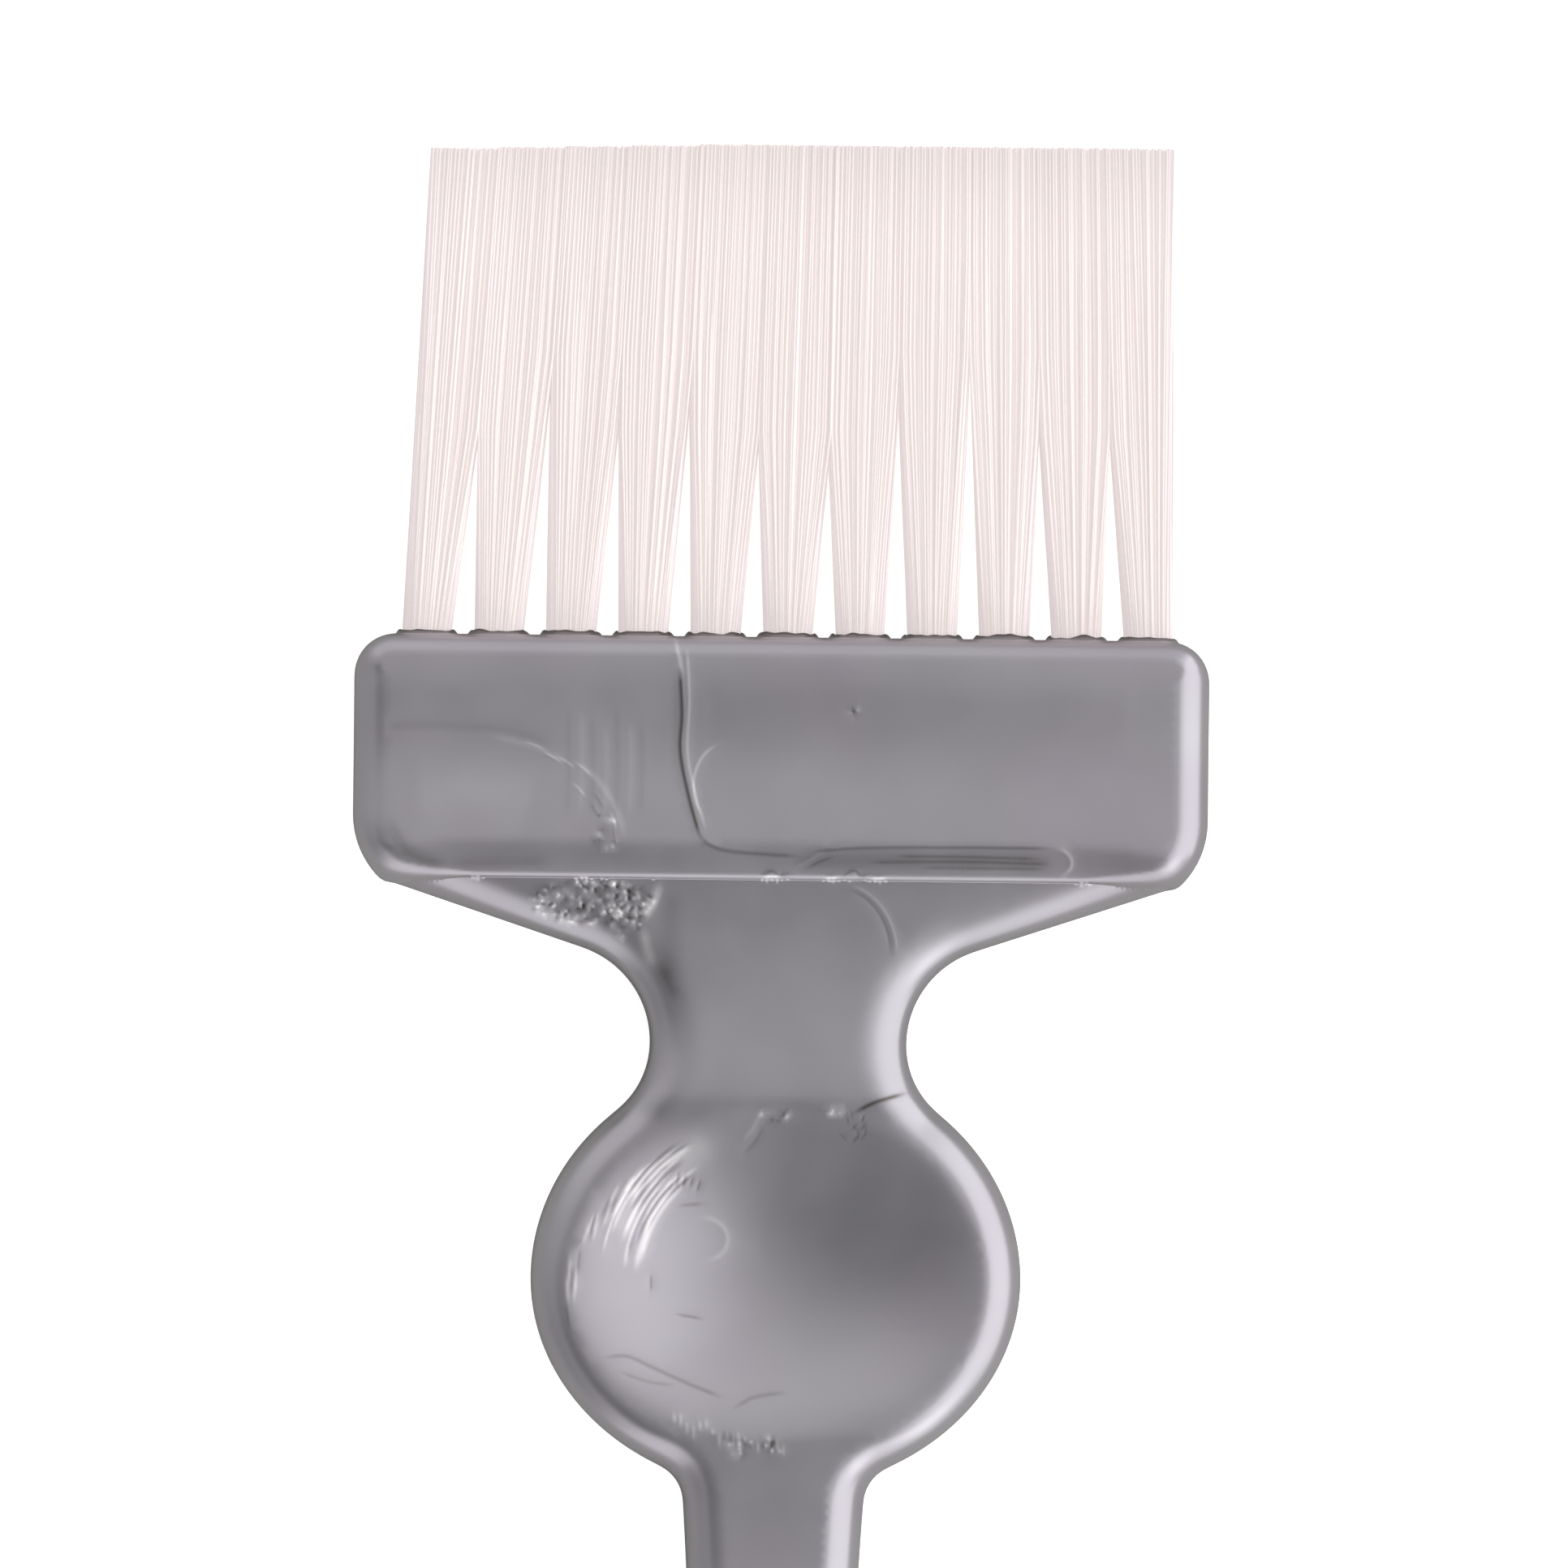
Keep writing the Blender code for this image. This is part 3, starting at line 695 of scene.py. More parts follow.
class Marks:
    """Small relief and tone of a face: strokes, grains and pin circles."""

    def __init__(self, strokes, patches, pins, seed):
        self.extra = []
        self.sets = []
        self.pins = [(on_handle(p), r * MM) for p, r in pins]
        for height, width, tone, points in strokes:
            path = spline([on_handle(p) for p in points], STROKE_STEP)
            self.add_stroke(height * MM, width * MM, tone, path)
        chance = random.Random(seed)
        for (cx, cy), (sx, sy), count in patches:
            for _ in range(count):
                angle, far = chance.uniform(0, 2 * math.pi), math.sqrt(chance.random())
                place = on_handle((cx + sx * far * math.cos(angle), cy + sy * far * math.sin(angle)))
                self.add_grain(place, chance.uniform(*GRAIN_RADII) * MM, chance.choice((-1, 1)), chance)
        for centre, radius in self.pins:
            rings = [circle(centre, radius + extra, PIN_SIDES) for extra in (-PIN_RIM, 0, PIN_RIM)]
            self.extra.extend(np.stack(rings, 1).reshape(-1, 2))

    def add_stroke(self, height, width, tone, points):
        """A ridge or groove along points, with its tone."""
        tangent = np.gradient(points, axis=0)
        tangent /= np.linalg.norm(tangent, axis=1)[:, None]
        normal = np.stack([-tangent[:, 1], tangent[:, 0]], 1)
        if width < WIDE_STROKE:
            for offset in (-1.6, -0.8, 0, 0.8, 1.6):
                self.extra.extend(points + normal * offset * width)
        steps = np.arange(len(points))
        length = min(FADE_STEPS, FADE_SHARE * len(points))
        fade = np.minimum(1, np.minimum(steps, steps[::-1]) / length + FADE_START)
        self.sets.append((points, height * fade, np.full(len(points), width), tone * fade))

    def add_grain(self, place, radius, sign, chance):
        """A small round bump or pit."""
        self.extra.extend(circle(place, 0.9 * radius, 6))
        self.extra.append(place)
        self.sets.append((place[None], np.array([sign * GRAIN_RELIEF * radius]), np.array([radius]),
                          np.array([sign * chance.uniform(*GRAIN_TONES)])))

    def read(self, xy):
        """Relief and tone at each of an array of points."""
        relief, tone = np.zeros(len(xy)), np.zeros(len(xy))
        tree = tree_of(xy)
        for points, height, width, shade in self.sets:
            best = {}
            for k, (x, y) in enumerate(points):
                for _, i, far in tree.find_range((x, y, 0), 2.5 * width[k]):
                    if i not in best or far < best[i][0]:
                        best[i] = (far, k)
            for i, (far, k) in best.items():
                bell = math.exp(-(far / width[k]) ** 2)
                relief[i] += height[k] * bell
                tone[i] += shade[k] * bell
        for centre, radius in self.pins:
            far = np.linalg.norm(xy - centre, axis=1)
            relief -= PIN_DEPTH * smoothstep((radius + PIN_RIM - far) / (2 * PIN_RIM))
        return relief, np.clip(tone, -1, 1)


# ---------------------------------------------------------------- handle mesh

def inward_normals(loop):
    """Unit normals of a closed loop, pointing into the material on its right-hand side."""
    ahead = np.roll(loop, -1, 0) - np.roll(loop, 1, 0)
    ahead /= np.linalg.norm(ahead, axis=1)[:, None]
    return np.stack([ahead[:, 1], -ahead[:, 0]], 1)


def edge_rings(loop, radius):
    """Points inside a loop that follow its rounded edge, closer together where it is steep."""
    normals = inward_normals(loop)
    angles = math.pi / 2 * np.arange(1, EDGE_RINGS + 1) / EDGE_RINGS
    depths = radius * (1 - np.cos(angles))
    rings = [(loop + normals * depth, depth) for depth in depths]
    keep = []
    for ring, depth in rings:
        far, _ = distance_to_loop(ring, loop)
        keep.append(ring[far > 0.97 * depth])
    return np.vstack(keep)


def crease_rows():
    """Rows of points along the crease, where the head's lip meets the plate."""
    xs = np.arange(-ROW_REACH, ROW_REACH, ROW_STEP)
    return np.vstack([np.stack([xs, HEAD_TOP + crease(xs) + rise * MM], 1) for rise in ROW_RISES])


def spaced_from(points, others, gap):
    """The points that are further than gap from every one of others."""
    if not len(others):
        return points
    tree = tree_of(others)
    return points[[tree.find((x, y, 0))[2] > gap for x, y in points]]


def face_points(outline, hole, marks):
    """All the points of a face but its two loops."""
    low, high = outline.min(0), outline.max(0)
    rows = np.arange(low[1], high[1], GRID_STEP * GRID_ROW_SHARE)
    grid = []
    for k, y in enumerate(rows):
        xs = np.arange(low[0] + (k % 2) * GRID_STEP / 2, high[0], GRID_STEP)
        grid.append(np.stack([xs, np.full(len(xs), y)], 1))
    rings = np.vstack([edge_rings(outline, HEAD_EDGE_RADIUS), edge_rings(hole[::-1], HOLE_EDGE_RADIUS)])
    rows = crease_rows()
    rows = rows[distance_to_loop(rows, outline)[0] > ROW_GAP]
    rings = spaced_from(rings, rows, RING_GAP)
    fixed = np.vstack([rings, rows])
    extra = np.array(marks.extra).reshape(-1, 2)
    if len(extra):
        extra = spaced_from(extra, fixed, MARK_GAP)
        fixed = np.vstack([fixed, extra])
    points = np.vstack([fixed, spaced_from(np.vstack(grid), fixed, GRID_GAP)])
    points = points[inside_loop(points, outline) & ~inside_loop(points, hole)]
    edge = np.vstack([outline, hole])
    return spaced_from(points, edge, EDGE_GAP)


def ring_edges(start, count):
    """Edges of a closed ring of points."""
    return [(start + k, start + (k + 1) % count) for k in range(count)]


def triangulate(points, edges):
    """Delaunay triangles that keep to the edges. Returns points, triangles and their middles."""
    coords = [Vector(p) for p in points]
    verts, _, faces, *_ = geometry.delaunay_2d_cdt(coords, edges, [], 0, 1e-9)
    flat = np.array([tuple(v) for v in verts])
    faces = np.array([f for f in faces if len(f) == 3])
    return flat, faces, flat[faces].mean(1)


class MeshBuilder:
    """Collects vertices and faces, with a tone for each vertex."""

    def __init__(self):
        self.verts, self.faces, self.tones, self.count = [], [], [], 0

    def add(self, verts, tones=None):
        """Adds vertices, and returns the index of the first."""
        start = self.count
        verts = np.asarray(verts, float)
        self.verts.append(verts)
        self.tones.append(np.zeros(len(verts)) if tones is None else np.asarray(tones, float))
        self.count += len(verts)
        return start

    def quads(self, low, high, count):
        """A closed band of quads between two rings that start at low and at high."""
        for k in range(count):
            j = (k + 1) % count
            self.faces.append((low + k, low + j, high + j, high + k))

    def make(self, name, weld=0.0):
        """The object. With a weld distance, its close vertices are joined and its faces turned out."""
        mesh = bpy.data.meshes.new(name)
        mesh.from_pydata(np.vstack(self.verts), [], [tuple(int(i) for i in f) for f in self.faces])
        tone = mesh.attributes.new("tone", "FLOAT", "POINT")
        tone.data.foreach_set("value", np.concatenate(self.tones).astype(np.float32))
        if weld:
            shape = bmesh.new()
            shape.from_mesh(mesh)
            bmesh.ops.remove_doubles(shape, verts=shape.verts, dist=weld)
            bmesh.ops.recalc_face_normals(shape, faces=shape.faces)
            shape.to_mesh(mesh)
            shape.free()
        mesh.shade_smooth()
        ob = bpy.data.objects.new(name, mesh)
        bpy.context.scene.collection.objects.link(ob)
        return ob


def add_face(builder, outline, hole, shape, marks, side):
    """One face of the handle; side is 1 on the front. Returns where its two loops start."""
    edges = ring_edges(0, len(outline)) + ring_edges(len(outline), len(hole))
    points = np.vstack([outline, hole, face_points(outline, hole, marks)])
    xy, faces, middle = triangulate(points, edges)
    faces = faces[inside_loop(middle, outline) & ~inside_loop(middle, hole)]
    relief, tone = marks.read(xy)
    far, _ = distance_to_loop(xy, outline)
    fade = smoothstep(far / MARK_FADE)
    height = shape.height(xy) + relief * fade
    # Painted shade: the tone darkens towards the outline
    tone = tone + PAINTED_RIM_SHADE * smoothstep(1 - far / PAINTED_RIM_SHADE_BAND)
    start = builder.add(np.column_stack([xy, MID + side * height]), tone)
    builder.faces.extend((faces + start)[:, ::side].tolist())
    return start, start + len(outline)


def on_top_wall(outline):
    """Which points of the outline are on the wall that holds the tufts."""
    return outline[:, 1] > HEAD_TOP - TOP_WALL_FALL


def burr(x, z, index):
    """Height of the plastic pushed up round a tuft hole, at a place on the head's top wall."""
    reach = math.hypot(x, z)
    angle = math.atan2(z, x)
    uneven = noise.noise((2.1 * math.cos(angle), 2.1 * math.sin(angle), 7.3 * index))
    height = BURR_HEIGHT + BURR_UNEVENNESS * uneven
    return height * math.exp(-((reach - HOLE_RADIUS - BURR_OFFSET) / BURR_WIDTH) ** 2)


def top_wall_grid(low, high, holes):
    """Points between two corners of the top wall, with rings of them round its holes."""
    grid = [(x, z) for x in np.arange(low[0] + TOP_WALL_STEP, high[0], TOP_WALL_STEP)
            for z in np.arange(low[1] + TOP_WALL_INSET, high[1], TOP_WALL_STEP)
            if min(math.hypot(x - c, z - MID) for c in holes) > HOLE_RADIUS + BURR_MARGIN]
    for c in holes:
        for beyond in BURR_RINGS:
            grid.extend(circle((c, MID), HOLE_RADIUS + beyond, HOLE_SIDES))
    return grid


def add_top_wall(builder, outline, first, holes):
    """The wall at the head's top edge, between the two faces, with the blind tuft holes in it."""
    flat = np.flatnonzero(on_top_wall(outline))
    flat = flat[np.argsort(outline[flat, 0])]
    verts = np.vstack(builder.verts)
    top, bottom = verts[first[0] + flat], verts[first[1] + flat]
    right = [top[-1] * (1 - share) + bottom[-1] * share for share, _ in WALL_ROWS]
    left = [bottom[0] * (1 - share) + top[0] * share for share, _ in WALL_ROWS]
    rim = [(p[0], p[2]) for p in [*top, *right, *bottom[::-1], *left]]
    loops = [circle((x, MID), HOLE_RADIUS, HOLE_SIDES) for x in holes]
    grid = top_wall_grid((top[0][0], bottom[0][2]), (top[-1][0], top[0][2]), holes)
    edges = ring_edges(0, len(rim))
    for h in range(len(loops)):
        edges += ring_edges(len(rim) + h * HOLE_SIDES, HOLE_SIDES)
    out, faces, middle = triangulate(np.vstack([rim, *loops, grid]), edges)
    keep = inside_loop(middle, np.array(rim))
    for c in holes:
        keep &= np.hypot(middle[:, 0] - c, middle[:, 1] - MID) > HOLE_RADIUS
    height, tone = wall_height(out, holes, top)
    start = builder.add(np.column_stack([out[:, 0], height, out[:, 1]]), tone)
    builder.faces.extend((faces[keep] + start).tolist())
    for loop, c in zip(loops, holes):
        add_hole(builder, loop, c, holes, top)


def wall_height(points, holes, edge):
    """Height and tone at points (x, z) of the top wall: the height of its edge, and the burrs on it."""
    rise, tone = np.zeros(len(points)), np.zeros(len(points))
    for k, (x, z) in enumerate(points):
        for index, c in enumerate(holes):
            if abs(x - c) < BURR_REACH:
                rise[k] += burr(x - c, z - MID, index)
        tone[k] = -min(1, rise[k] / BURR_DARK_HEIGHT)
    return np.interp(points[:, 0], edge[:, 0], edge[:, 1]) + rise, tone


def add_hole(builder, mouth, centre_x, holes, edge):
    """The round wall and flat floor of a blind tuft hole."""
    count = len(mouth)
    height, tone = wall_height(mouth, holes, edge)
    starts = [builder.add(np.column_stack([mouth[:, 0], height, mouth[:, 1]]), tone)]
    for depth in HOLE_RING_DEPTHS:
        ring = np.column_stack([mouth[:, 0], np.full(count, HEAD_TOP - depth), mouth[:, 1]])
        starts.append(builder.add(ring))
    for low, high in zip(starts, starts[1:]):
        builder.quads(low, high, count)
    floor = builder.add([(centre_x, HEAD_TOP - HOLE_DEPTH, MID)])
    for k in range(count):
        builder.faces.append((starts[-1] + k, starts[-1] + (k + 1) % count, floor))


def add_side_wall(builder, outline, first, skip):
    """The upright wall between the faces, with the fine ridge of the mould's parting line, darkened
    with painted shade.
    """
    normals = inward_normals(outline)
    count = len(outline)
    verts = np.vstack(builder.verts)
    front = verts[first[0]:first[0] + count]
    back = verts[first[1]:first[1] + count]
    rows = [first[0]]
    for share, ridge in WALL_ROWS:
        row = front * (1 - share) + back * share
        row[:, :2] -= normals * (PARTING_RIDGE * ridge * ~skip)[:, None]
        # Painted shade: the side wall rows are darkened
        rows.append(builder.add(row, np.full(count, PAINTED_RIM_SHADE)))
    rows.append(first[1])
    for low, high in zip(rows, rows[1:]):
        for k in range(count):
            j = (k + 1) % count
            if not (skip[k] and skip[j]):
                builder.faces.append((low + k, high + k, high + j, low + j))


def make_handle(holes):
    """The whole moulding; holes are where the middles of the tuft holes lie across it."""
    outline = handle_outline()
    hole = circle((0, TAIL + EYE_RADIUS), HANGING_HOLE_RADIUS, HANGING_HOLE_SIDES)
    shape = FaceShape()
    builder = MeshBuilder()
    front = add_face(builder, outline, hole, shape, Marks(front_strokes(), FRONT_PATCHES, [], 3), 1)
    back = add_face(builder, outline, hole, shape, Marks([], [], BACK_PINS, 4), -1)
    add_side_wall(builder, outline, (front[0], back[0]), on_top_wall(outline))
    add_side_wall(builder, hole, (front[1], back[1]), np.zeros(HANGING_HOLE_SIDES, bool))
    add_top_wall(builder, outline, (front[0], back[0]), holes)
    return builder.make("handle_moulding", weld=WELD)


# ---------------------------------------------------------------- tufts

def filament_path(tuft, side_a, side_b, chance):
    """Points of one folded filament: down from a tip, round under the anchor, up to a tip."""
    down = filament_leg(tuft, side_a, chance)
    up = filament_leg(tuft, side_b, chance)
    left, right = down[-1], up[-1]
    middle = (left + right) / 2
    drop = abs(right[0] - left[0]) / 2 * 0.95
    loop = []
    for angle in (0.3, 0.5, 0.7):
        share = math.sin(math.pi * angle)
        x = middle[0] - (right[0] - left[0]) / 2 * math.cos(math.pi * angle)
        z = left[2] + (right[2] - left[2]) * angle
        loop.append(np.array([x, middle[1] - drop * share, z]))
    return np.array([*down, *loop, *up[::-1]])


def filament_leg(tuft, place, chance):
    """From the tip down to beside the anchor. place is (a, b), each from -1 to 1 over the tuft."""
    a, b = place
    disc_a, disc_b = a * math.sqrt(1 - b * b / 2), b * math.sqrt(1 - a * a / 2)
    length = tuft["length"] * (1 - TIP_SCATTER * chance.random() ** 2)
    meet = tuft["meet"][0 if a < 0 else 1]
    bow_x, bow_z = chance.gauss(0, BOW_ACROSS), chance.gauss(0, BOW_UP)
    points = []
    for share in LEG_SHARES:
        h = share * length
        if meet is None:
            spread = share
            half = ROOT_RADIUS + (tuft["tip_half"] - ROOT_RADIUS) * share
        else:
            spread = min(1, h / meet)
            full = tuft["root_half"] + (tuft["tip_half"] - tuft["root_half"]) * share + TUFT_OVERLAP
            half = ROOT_RADIUS + (full - ROOT_RADIUS) * spread
        deep = ROOT_RADIUS - TIP_THINNING * share
        across = disc_a + (a - disc_a) * spread
        up = disc_b + (b - disc_b) * spread
        wave = math.sin(math.pi * min(1, share * 1.2))
        x = tuft["root"] + (tuft["tip"] - tuft["root"]) * share + across * half + bow_x * wave
        z = MID + up * deep + bow_z * wave
        points.append(np.array([x, HEAD_TOP + h, z]))
    beside = math.copysign(BESIDE_ANCHOR + 0.78 * abs(disc_a) * ROOT_RADIUS, a)
    for depth, share in LEG_DEPTHS:
        x = tuft["root"] + disc_a * ROOT_RADIUS * (1 - share) + beside * share
        points.append(np.array([x, HEAD_TOP - depth, MID + disc_b * ROOT_RADIUS * 0.93]))
    return points


def tuft_places(chance):
    """Jittered even places over the left half of a tuft's square section."""
    columns = math.ceil(PAIRS / FILAMENT_ROWS)
    places = []
    for r in range(FILAMENT_ROWS):
        for c in range(columns):
            a = -(c + 0.25 + 0.5 * (r % 2) + chance.uniform(-0.3, 0.3)) / columns
            b = (2 * (r + 0.5 + chance.uniform(-0.3, 0.3)) / FILAMENT_ROWS) - 1
            places.append((max(-1, min(-0.01, a)), max(-1, min(1, b))))
    return places


def add_tube(builder, path, tone):
    """A closed five-sided tube along a path."""
    tangent = np.gradient(path, axis=0)
    tangent /= np.linalg.norm(tangent, axis=1)[:, None]
    up = np.array([0.0, 0.0, 1.0]) - tangent * tangent[:, 2:3]
    up /= np.linalg.norm(up, axis=1)[:, None]
    side = np.cross(up, tangent)
    angles = 2 * math.pi * np.arange(FILAMENT_SIDES) / FILAMENT_SIDES
    ring = side[:, None] * np.cos(angles)[None, :, None] + up[:, None] * np.sin(angles)[None, :, None]
    verts = (path[:, None] + FILAMENT_RADIUS * ring).reshape(-1, 3)
    start = builder.add(verts, np.full(len(verts), tone))
    n, count = FILAMENT_SIDES, len(path)
    for k in range(count - 1):
        builder.quads(start + k * n, start + (k + 1) * n, n)
    builder.faces.append(tuple(start + k for k in reversed(range(n))))
    builder.faces.append(tuple(start + (count - 1) * n + k for k in range(n)))


def make_tuft(index, roots, tips, lengths):
    """One tuft; the tone of each filament says how deep it lies, from 0 outside to 1, and sets how much
    painted glow it gets.
    """
    chance = random.Random(100 + index)
    pitch = (roots[-1] - roots[0]) / (TUFTS - 1)
    tip_pitch = (tips[-1] - tips[0]) / (TUFTS - 1)
    tuft = {
        "root": roots[index], "tip": tips[index], "length": lengths[index],
        "root_half": pitch / 2, "tip_half": tip_pitch / 2,
        "meet": (MEET_HEIGHTS[index - 1] * MM if index else None,
                 MEET_HEIGHTS[index] * MM if index < TUFTS - 1 else None),
    }
    builder = MeshBuilder()
    for a, b in tuft_places(chance):
        other_a = min(1, max(0.02, -a + chance.gauss(0, 0.06)))
        other_b = max(-1, min(1, b + chance.gauss(0, 0.08)))
        path = filament_path(tuft, (a, b), (other_a, other_b), chance)
        # Deeper filaments get more painted glow, to fill the shade between them
        outer = max(abs(b), a ** 4)
        depth = (OUTER_LIMIT - outer) / OUTER_BAND
        add_tube(builder, path, depth + chance.uniform(-DEPTH_JITTER, DEPTH_JITTER))
    return builder.make(f"tuft_filaments_{index + 1:02d}")


# ---------------------------------------------------------------- materials

MAP_SOCKETS = ("From Min", "From Max", "To Min", "To Max")


class Shader:
    """A material's node tree with a Principled shader, and short ways to add nodes."""

    def __init__(self, name):
        self.material = bpy.data.materials.new(name)
        self.material.use_nodes = True
        self.nodes = self.material.node_tree.nodes
        self.links = self.material.node_tree.links
        self.principled = self.nodes["Principled BSDF"]

    def add(self, kind, **settings):
        node = self.nodes.new(kind)
        for key, value in settings.items():
            setattr(node, key, value)
        return node

    def wire(self, out, into):
        self.links.new(out, into)

    def coordinates(self, scale):
        where = self.add("ShaderNodeTexCoord")
        mapping = self.add("ShaderNodeMapping")
        mapping.inputs["Scale"].default_value = scale
        self.wire(where.outputs["Object"], mapping.inputs["Vector"])
        return mapping.outputs["Vector"]

    def noise(self, scale, detail):
        node = self.add("ShaderNodeTexNoise")
        node.inputs["Scale"].default_value = 1.0
        node.inputs["Detail"].default_value = detail
        self.wire(self.coordinates(scale), node.inputs["Vector"])
        return node.outputs["Fac"]

    def ramp(self, value, low, high, out_low=0.0, out_high=1.0, kind="SMOOTHSTEP"):
        node = self.add("ShaderNodeMapRange", interpolation_type=kind)
        for socket, number in zip(MAP_SOCKETS, (low, high, out_low, out_high)):
            node.inputs[socket].default_value = number
        self.wire(value, node.inputs["Value"])
        return node.outputs["Result"]

    def mix(self, amount, first, second):
        """A colour between two, each a tuple or a socket."""
        node = self.add("ShaderNodeMix", data_type="RGBA")
        for socket, value in ((node.inputs[6], first), (node.inputs[7], second)):
            if isinstance(value, tuple):
                socket.default_value = (*value, 1.0)
            else:
                self.wire(value, socket)
        self.wire(amount, node.inputs[0])
        return node.outputs[2]

    def bump(self, height, distance):
        node = self.add("ShaderNodeBump")
        node.inputs["Strength"].default_value = 1.0
        node.inputs["Distance"].default_value = distance
        self.wire(height, node.inputs["Height"])
        self.wire(node.outputs["Normal"], self.principled.inputs["Normal"])


def tone_of(shader):
    """The tone that each mesh carries: on the handle for its marks and its painted shade and
    highlights, on the tufts for its filaments' depth, which sets their painted glow.
    """
    node = shader.add("ShaderNodeAttribute", attribute_name="tone")
    return node.outputs["Fac"]


def handle_plastic():
    """Grey plastic with a fine pearl pigment, cloudy where the melt flowed, with painted highlights and
    shade laid in through its tone.
    """
    s = Shader("pearl_grey_plastic")
    p = s.principled.inputs
    p["Metallic"].default_value = 0.75
    p["Specular IOR Level"].default_value = 0.5
    p["Coat Weight"].default_value = 0.12
    p["Coat Roughness"].default_value = 0.16
    cloud = s.ramp(s.noise((45, 110, 45), 2), 0.25, 0.75)
    colour = s.mix(cloud, (0.328, 0.304, 0.340), (0.360, 0.343, 0.372))
    drift = s.ramp(s.noise((70, 30, 70), 1), 0.35, 0.75, 0.0, 0.45)
    colour = s.mix(drift, colour, (0.328, 0.330, 0.345))
    tone = tone_of(s)
    # The tone lightens and darkens the colour: flow marks, and also painted highlights and painted
    # shade
    colour = s.mix(s.ramp(tone, 0, 1, kind="LINEAR"), colour, (0.74, 0.72, 0.73))
    colour = s.mix(s.ramp(tone, 0, -1, kind="LINEAR"), colour, (0.075, 0.068, 0.062))
    s.wire(colour, p["Base Color"])
    s.wire(s.ramp(s.noise((220, 220, 220), 2), 0.2, 0.8, 0.28, 0.32), p["Roughness"])
    s.bump(s.noise((2600, 2600, 2600), 1), 0.0000012)
    return s.material


def nylon():
    """Off-white nylon with a painted glow: emission lights every filament, and lights the inner
    filaments more, to paint out the shade that falls between them.
    """
    s = Shader("nylon_filament")
    p = s.principled.inputs
    p["Roughness"].default_value = 0.5
    p["Specular IOR Level"].default_value = 0.3
    streak = s.ramp(s.noise((900, 22, 900), 2), 0.3, 0.7)
    s.wire(s.mix(streak, (0.485, 0.440, 0.438), (0.512, 0.468, 0.465)), p["Base Color"])
    # Painted glow: the filaments emit light, more where they lie deeper in the tuft
    p["Emission Color"].default_value = (1.0, 0.92, 0.90, 1.0)
    s.wire(s.ramp(tone_of(s), 0, 1, 0.370, 0.465), p["Emission Strength"])
    return s.material


def anchor_metal():
    """Cut stainless strip, with fine drawing lines along it."""
    s = Shader("anchor_strip")
    p = s.principled.inputs
    p["Metallic"].default_value = 1.0
    lines = s.noise((400, 9000, 400), 3)
    colour = s.mix(s.ramp(lines, 0.3, 0.7), (0.55, 0.54, 0.52), (0.68, 0.67, 0.64))
    s.wire(colour, p["Base Color"])
    s.wire(s.ramp(lines, 0.3, 0.7, 0.24, 0.38), p["Roughness"])
    s.bump(lines, 0.00001)
    return s.material


# ---------------------------------------------------------------- stage, light and camera

def make_floor():
    """A plain white floor, which to the camera is as bright as the background."""
    mesh = bpy.data.meshes.new("floor")
    size = 6.0
    corners = [(-size, -size, 0), (size, -size, 0), (size, size, 0), (-size, size, 0)]
    mesh.from_pydata(corners, [], [(0, 1, 2, 3)])
    floor = bpy.data.objects.new("floor", mesh)
    floor.location.z = cad_low.z - 0.0001
    bpy.context.scene.collection.objects.link(floor)
    s = Shader("floor_white")
    p = s.principled.inputs
    seen = s.add("ShaderNodeLightPath").outputs["Is Camera Ray"]
    s.wire(s.mix(seen, (0.50, 0.50, 0.47), (0.60, 0.60, 0.60)), p["Base Color"])
    p["Roughness"].default_value = 0.9
    p["Specular IOR Level"].default_value = 0.0
    p["Emission Color"].default_value = (1, 1, 1, 1)
    s.wire(s.ramp(seen, 0, 1, 0.0, 0.84), p["Emission Strength"])
    floor.data.materials.append(s.material)


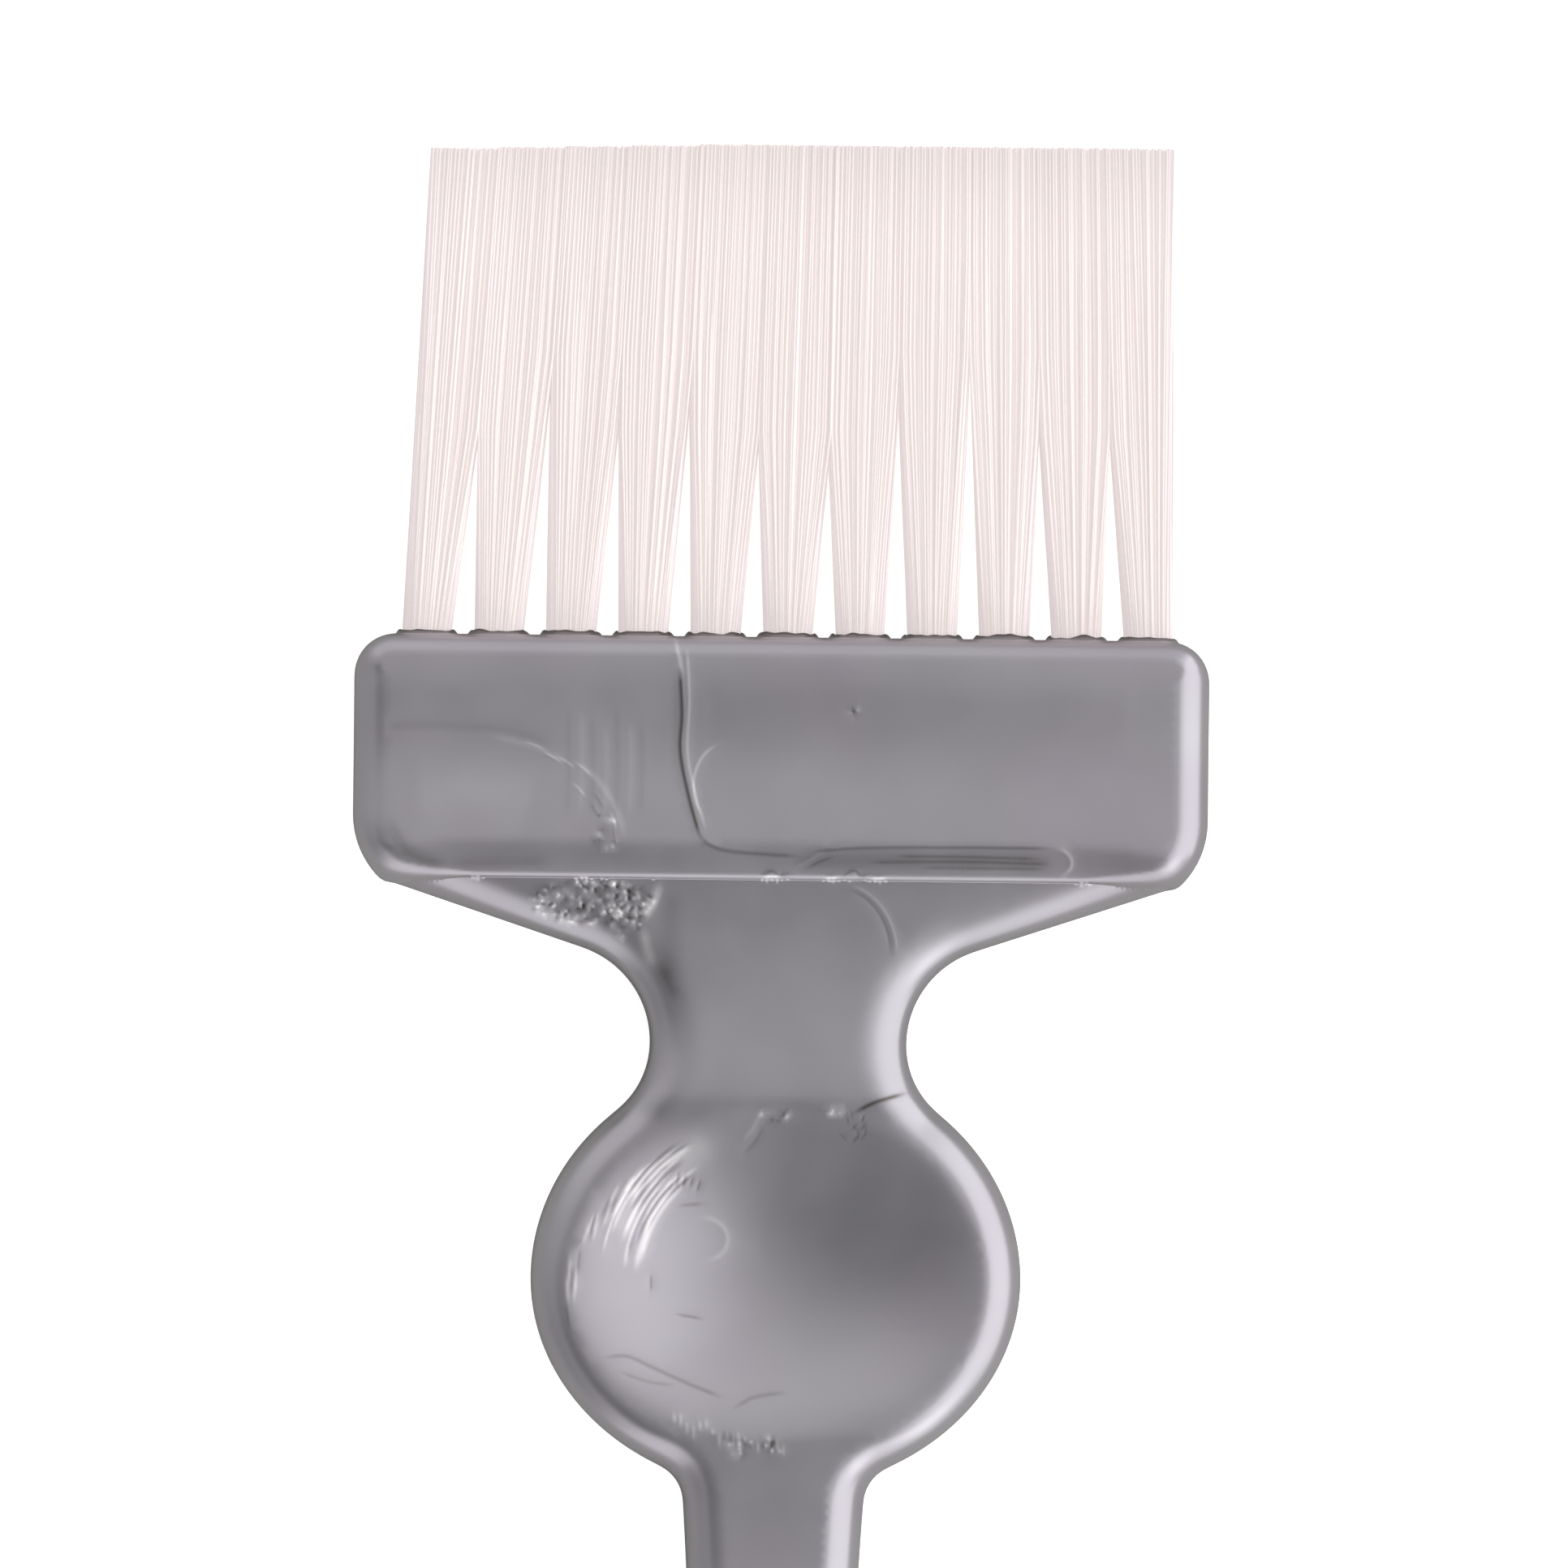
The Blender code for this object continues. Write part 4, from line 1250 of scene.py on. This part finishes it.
class Sky:
    """World light as soft boxes, each a smooth window in azimuth and elevation (degrees).

    A box of negative strength takes light away. The camera itself sees plain white.
    """

    def __init__(self):
        self.world = bpy.data.worlds.new("studio")
        bpy.context.scene.world = self.world
        self.world.use_nodes = True
        self.nodes = self.world.node_tree.nodes
        self.links = self.world.node_tree.links
        where = self.nodes.new("ShaderNodeTexCoord")
        split = self.nodes.new("ShaderNodeSeparateXYZ")
        self.links.new(where.outputs["Generated"], split.inputs[0])
        self.x, self.y, self.z = split.outputs
        self.elevation = self.math("MULTIPLY", self.math("ARCSINE", self.z), math.degrees(1))

    def math(self, operation, first, second=None):
        """A maths node's result; each operand is a number or a socket."""
        node = self.nodes.new("ShaderNodeMath")
        node.operation = operation
        for socket, value in zip(node.inputs, (first, second)):
            if value is None:
                continue
            if isinstance(value, (int, float)):
                socket.default_value = value
            else:
                self.links.new(value, socket)
        return node.outputs[0]

    def fall(self, value, full, none):
        """Runs smoothly from 1 where value is full to 0 where it is none."""
        node = self.nodes.new("ShaderNodeMapRange")
        node.interpolation_type = "SMOOTHSTEP"
        for socket, number in zip(MAP_SOCKETS, (full, none, 1, 0)):
            node.inputs[socket].default_value = number
        self.links.new(value, node.inputs["Value"])
        return node.outputs["Result"]

    def level_part(self, x_share, y_share):
        """How far the direction goes along a level axis."""
        return self.math("ADD", self.math("MULTIPLY", self.x, x_share),
                         self.math("MULTIPLY", self.y, y_share))

    def box(self, azimuth, half_azimuth, elevation, half_elevation, soft, strength):
        """One soft box. Azimuth 0 is towards +X, and 90 towards +Y."""
        a = math.radians(azimuth)
        along = self.level_part(math.cos(a), math.sin(a))
        across = self.level_part(-math.sin(a), math.cos(a))
        turn = self.math("ABSOLUTE", self.math("ARCTAN2", across, along))
        turn = self.math("MULTIPLY", turn, math.degrees(1))
        climb = self.math("ABSOLUTE", self.math("SUBTRACT", self.elevation, elevation))
        window = self.math("MULTIPLY", self.fall(turn, half_azimuth - soft, half_azimuth + soft),
                           self.fall(climb, half_elevation - soft, half_elevation + soft))
        return self.math("MULTIPLY", window, strength)

    def finish(self, base, boxes):
        """Sums the boxes over an even base, and gives camera rays a strength of 1."""
        total = None
        for values in boxes:
            light = self.box(*values)
            total = light if total is None else self.math("ADD", total, light)
        total = self.math("MAXIMUM", self.math("ADD", total, base), 0.02)
        path = self.nodes.new("ShaderNodeLightPath")
        seen = path.outputs["Is Camera Ray"]
        clear = self.math("MULTIPLY", total, self.math("SUBTRACT", 1.0, seen))
        strength = self.math("ADD", clear, seen)
        background = self.nodes["Background"]
        background.inputs["Color"].default_value = (1, 1, 1, 1)
        self.links.new(strength, background.inputs["Strength"])


def make_light():
    """The soft boxes round the brush."""
    Sky().finish(0.50, [
        # azimuth, half width, elevation, half height, softness, strength
        (-8, 56, 48, 28, 12, 1.80),
        (8, 42, 2, 18, 12, 1.80),
        (-86, 42, 24, 24, 9, 1.10),
        (95, 60, 38, 32, 12, 0.55),
        (-113, 61, 69, 15, 7, -0.54),
        (180, 50, 30, 30, 14, 0.13),
        (-146, 26, 36, 26, 12, -0.24),
    ])


def make_camera():
    """Straight above the brush, a little turned."""
    data = bpy.data.cameras.new("camera")
    camera = bpy.data.objects.new("camera", data)
    bpy.context.scene.collection.objects.link(camera)
    data.sensor_width = SENSOR_WIDTH
    data.lens = SENSOR_WIDTH * CAMERA_DISTANCE / SHOWN_WIDTH
    data.clip_start, data.clip_end = 0.05, 20
    camera.location = (CAMERA_RIGHT, HEAD_TOP - CAMERA_BELOW_HEAD_TOP,
                       MID + HEAD_HALF_THICKNESS / 2 + CAMERA_DISTANCE)
    camera.rotation_euler = (0, 0, CAMERA_ROLL)
    bpy.context.scene.camera = camera


def tip_middle(node):
    """Where the top end of a CAD tuft has its middle across the brush."""
    co = np.array([v.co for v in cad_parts[node].data.vertices])
    top = co[co[:, 1] > co[:, 1].max() - 0.5 * MM]
    return (top[:, 0].min() + top[:, 0].max()) / 2


def main():
    """Builds the looks round the CAD bodies, and says which body each piece stands for."""
    bpy.context.scene.view_settings.view_transform = "Standard"
    tufts = [f"bristle_tuft_{k + 1:02d}" for k in range(TUFTS)]
    anchors = [f"tuft_anchor_{k + 1:02d}" for k in range(TUFTS)]
    roots = [sum(corner.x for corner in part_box(name)) / 2 for name in anchors]
    tips = [tip_middle(name) + TIP_LEAN for name in tufts]
    lengths = [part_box(name)[1].y - HEAD_TOP for name in tufts]

    handle = make_handle(roots)
    handle.data.materials.append(handle_plastic())
    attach(handle, "root")
    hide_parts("handle")

    bristle = nylon()
    for index, name in enumerate(tufts):
        tuft = make_tuft(index, roots, tips, lengths)
        tuft.data.materials.append(bristle)
        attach(tuft, "root")
        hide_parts(name)

    metal = anchor_metal()
    for name in anchors:
        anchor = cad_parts[name]
        anchor.data.materials.clear()
        anchor.data.materials.append(metal)

    make_floor()
    make_light()
    make_camera()


main()
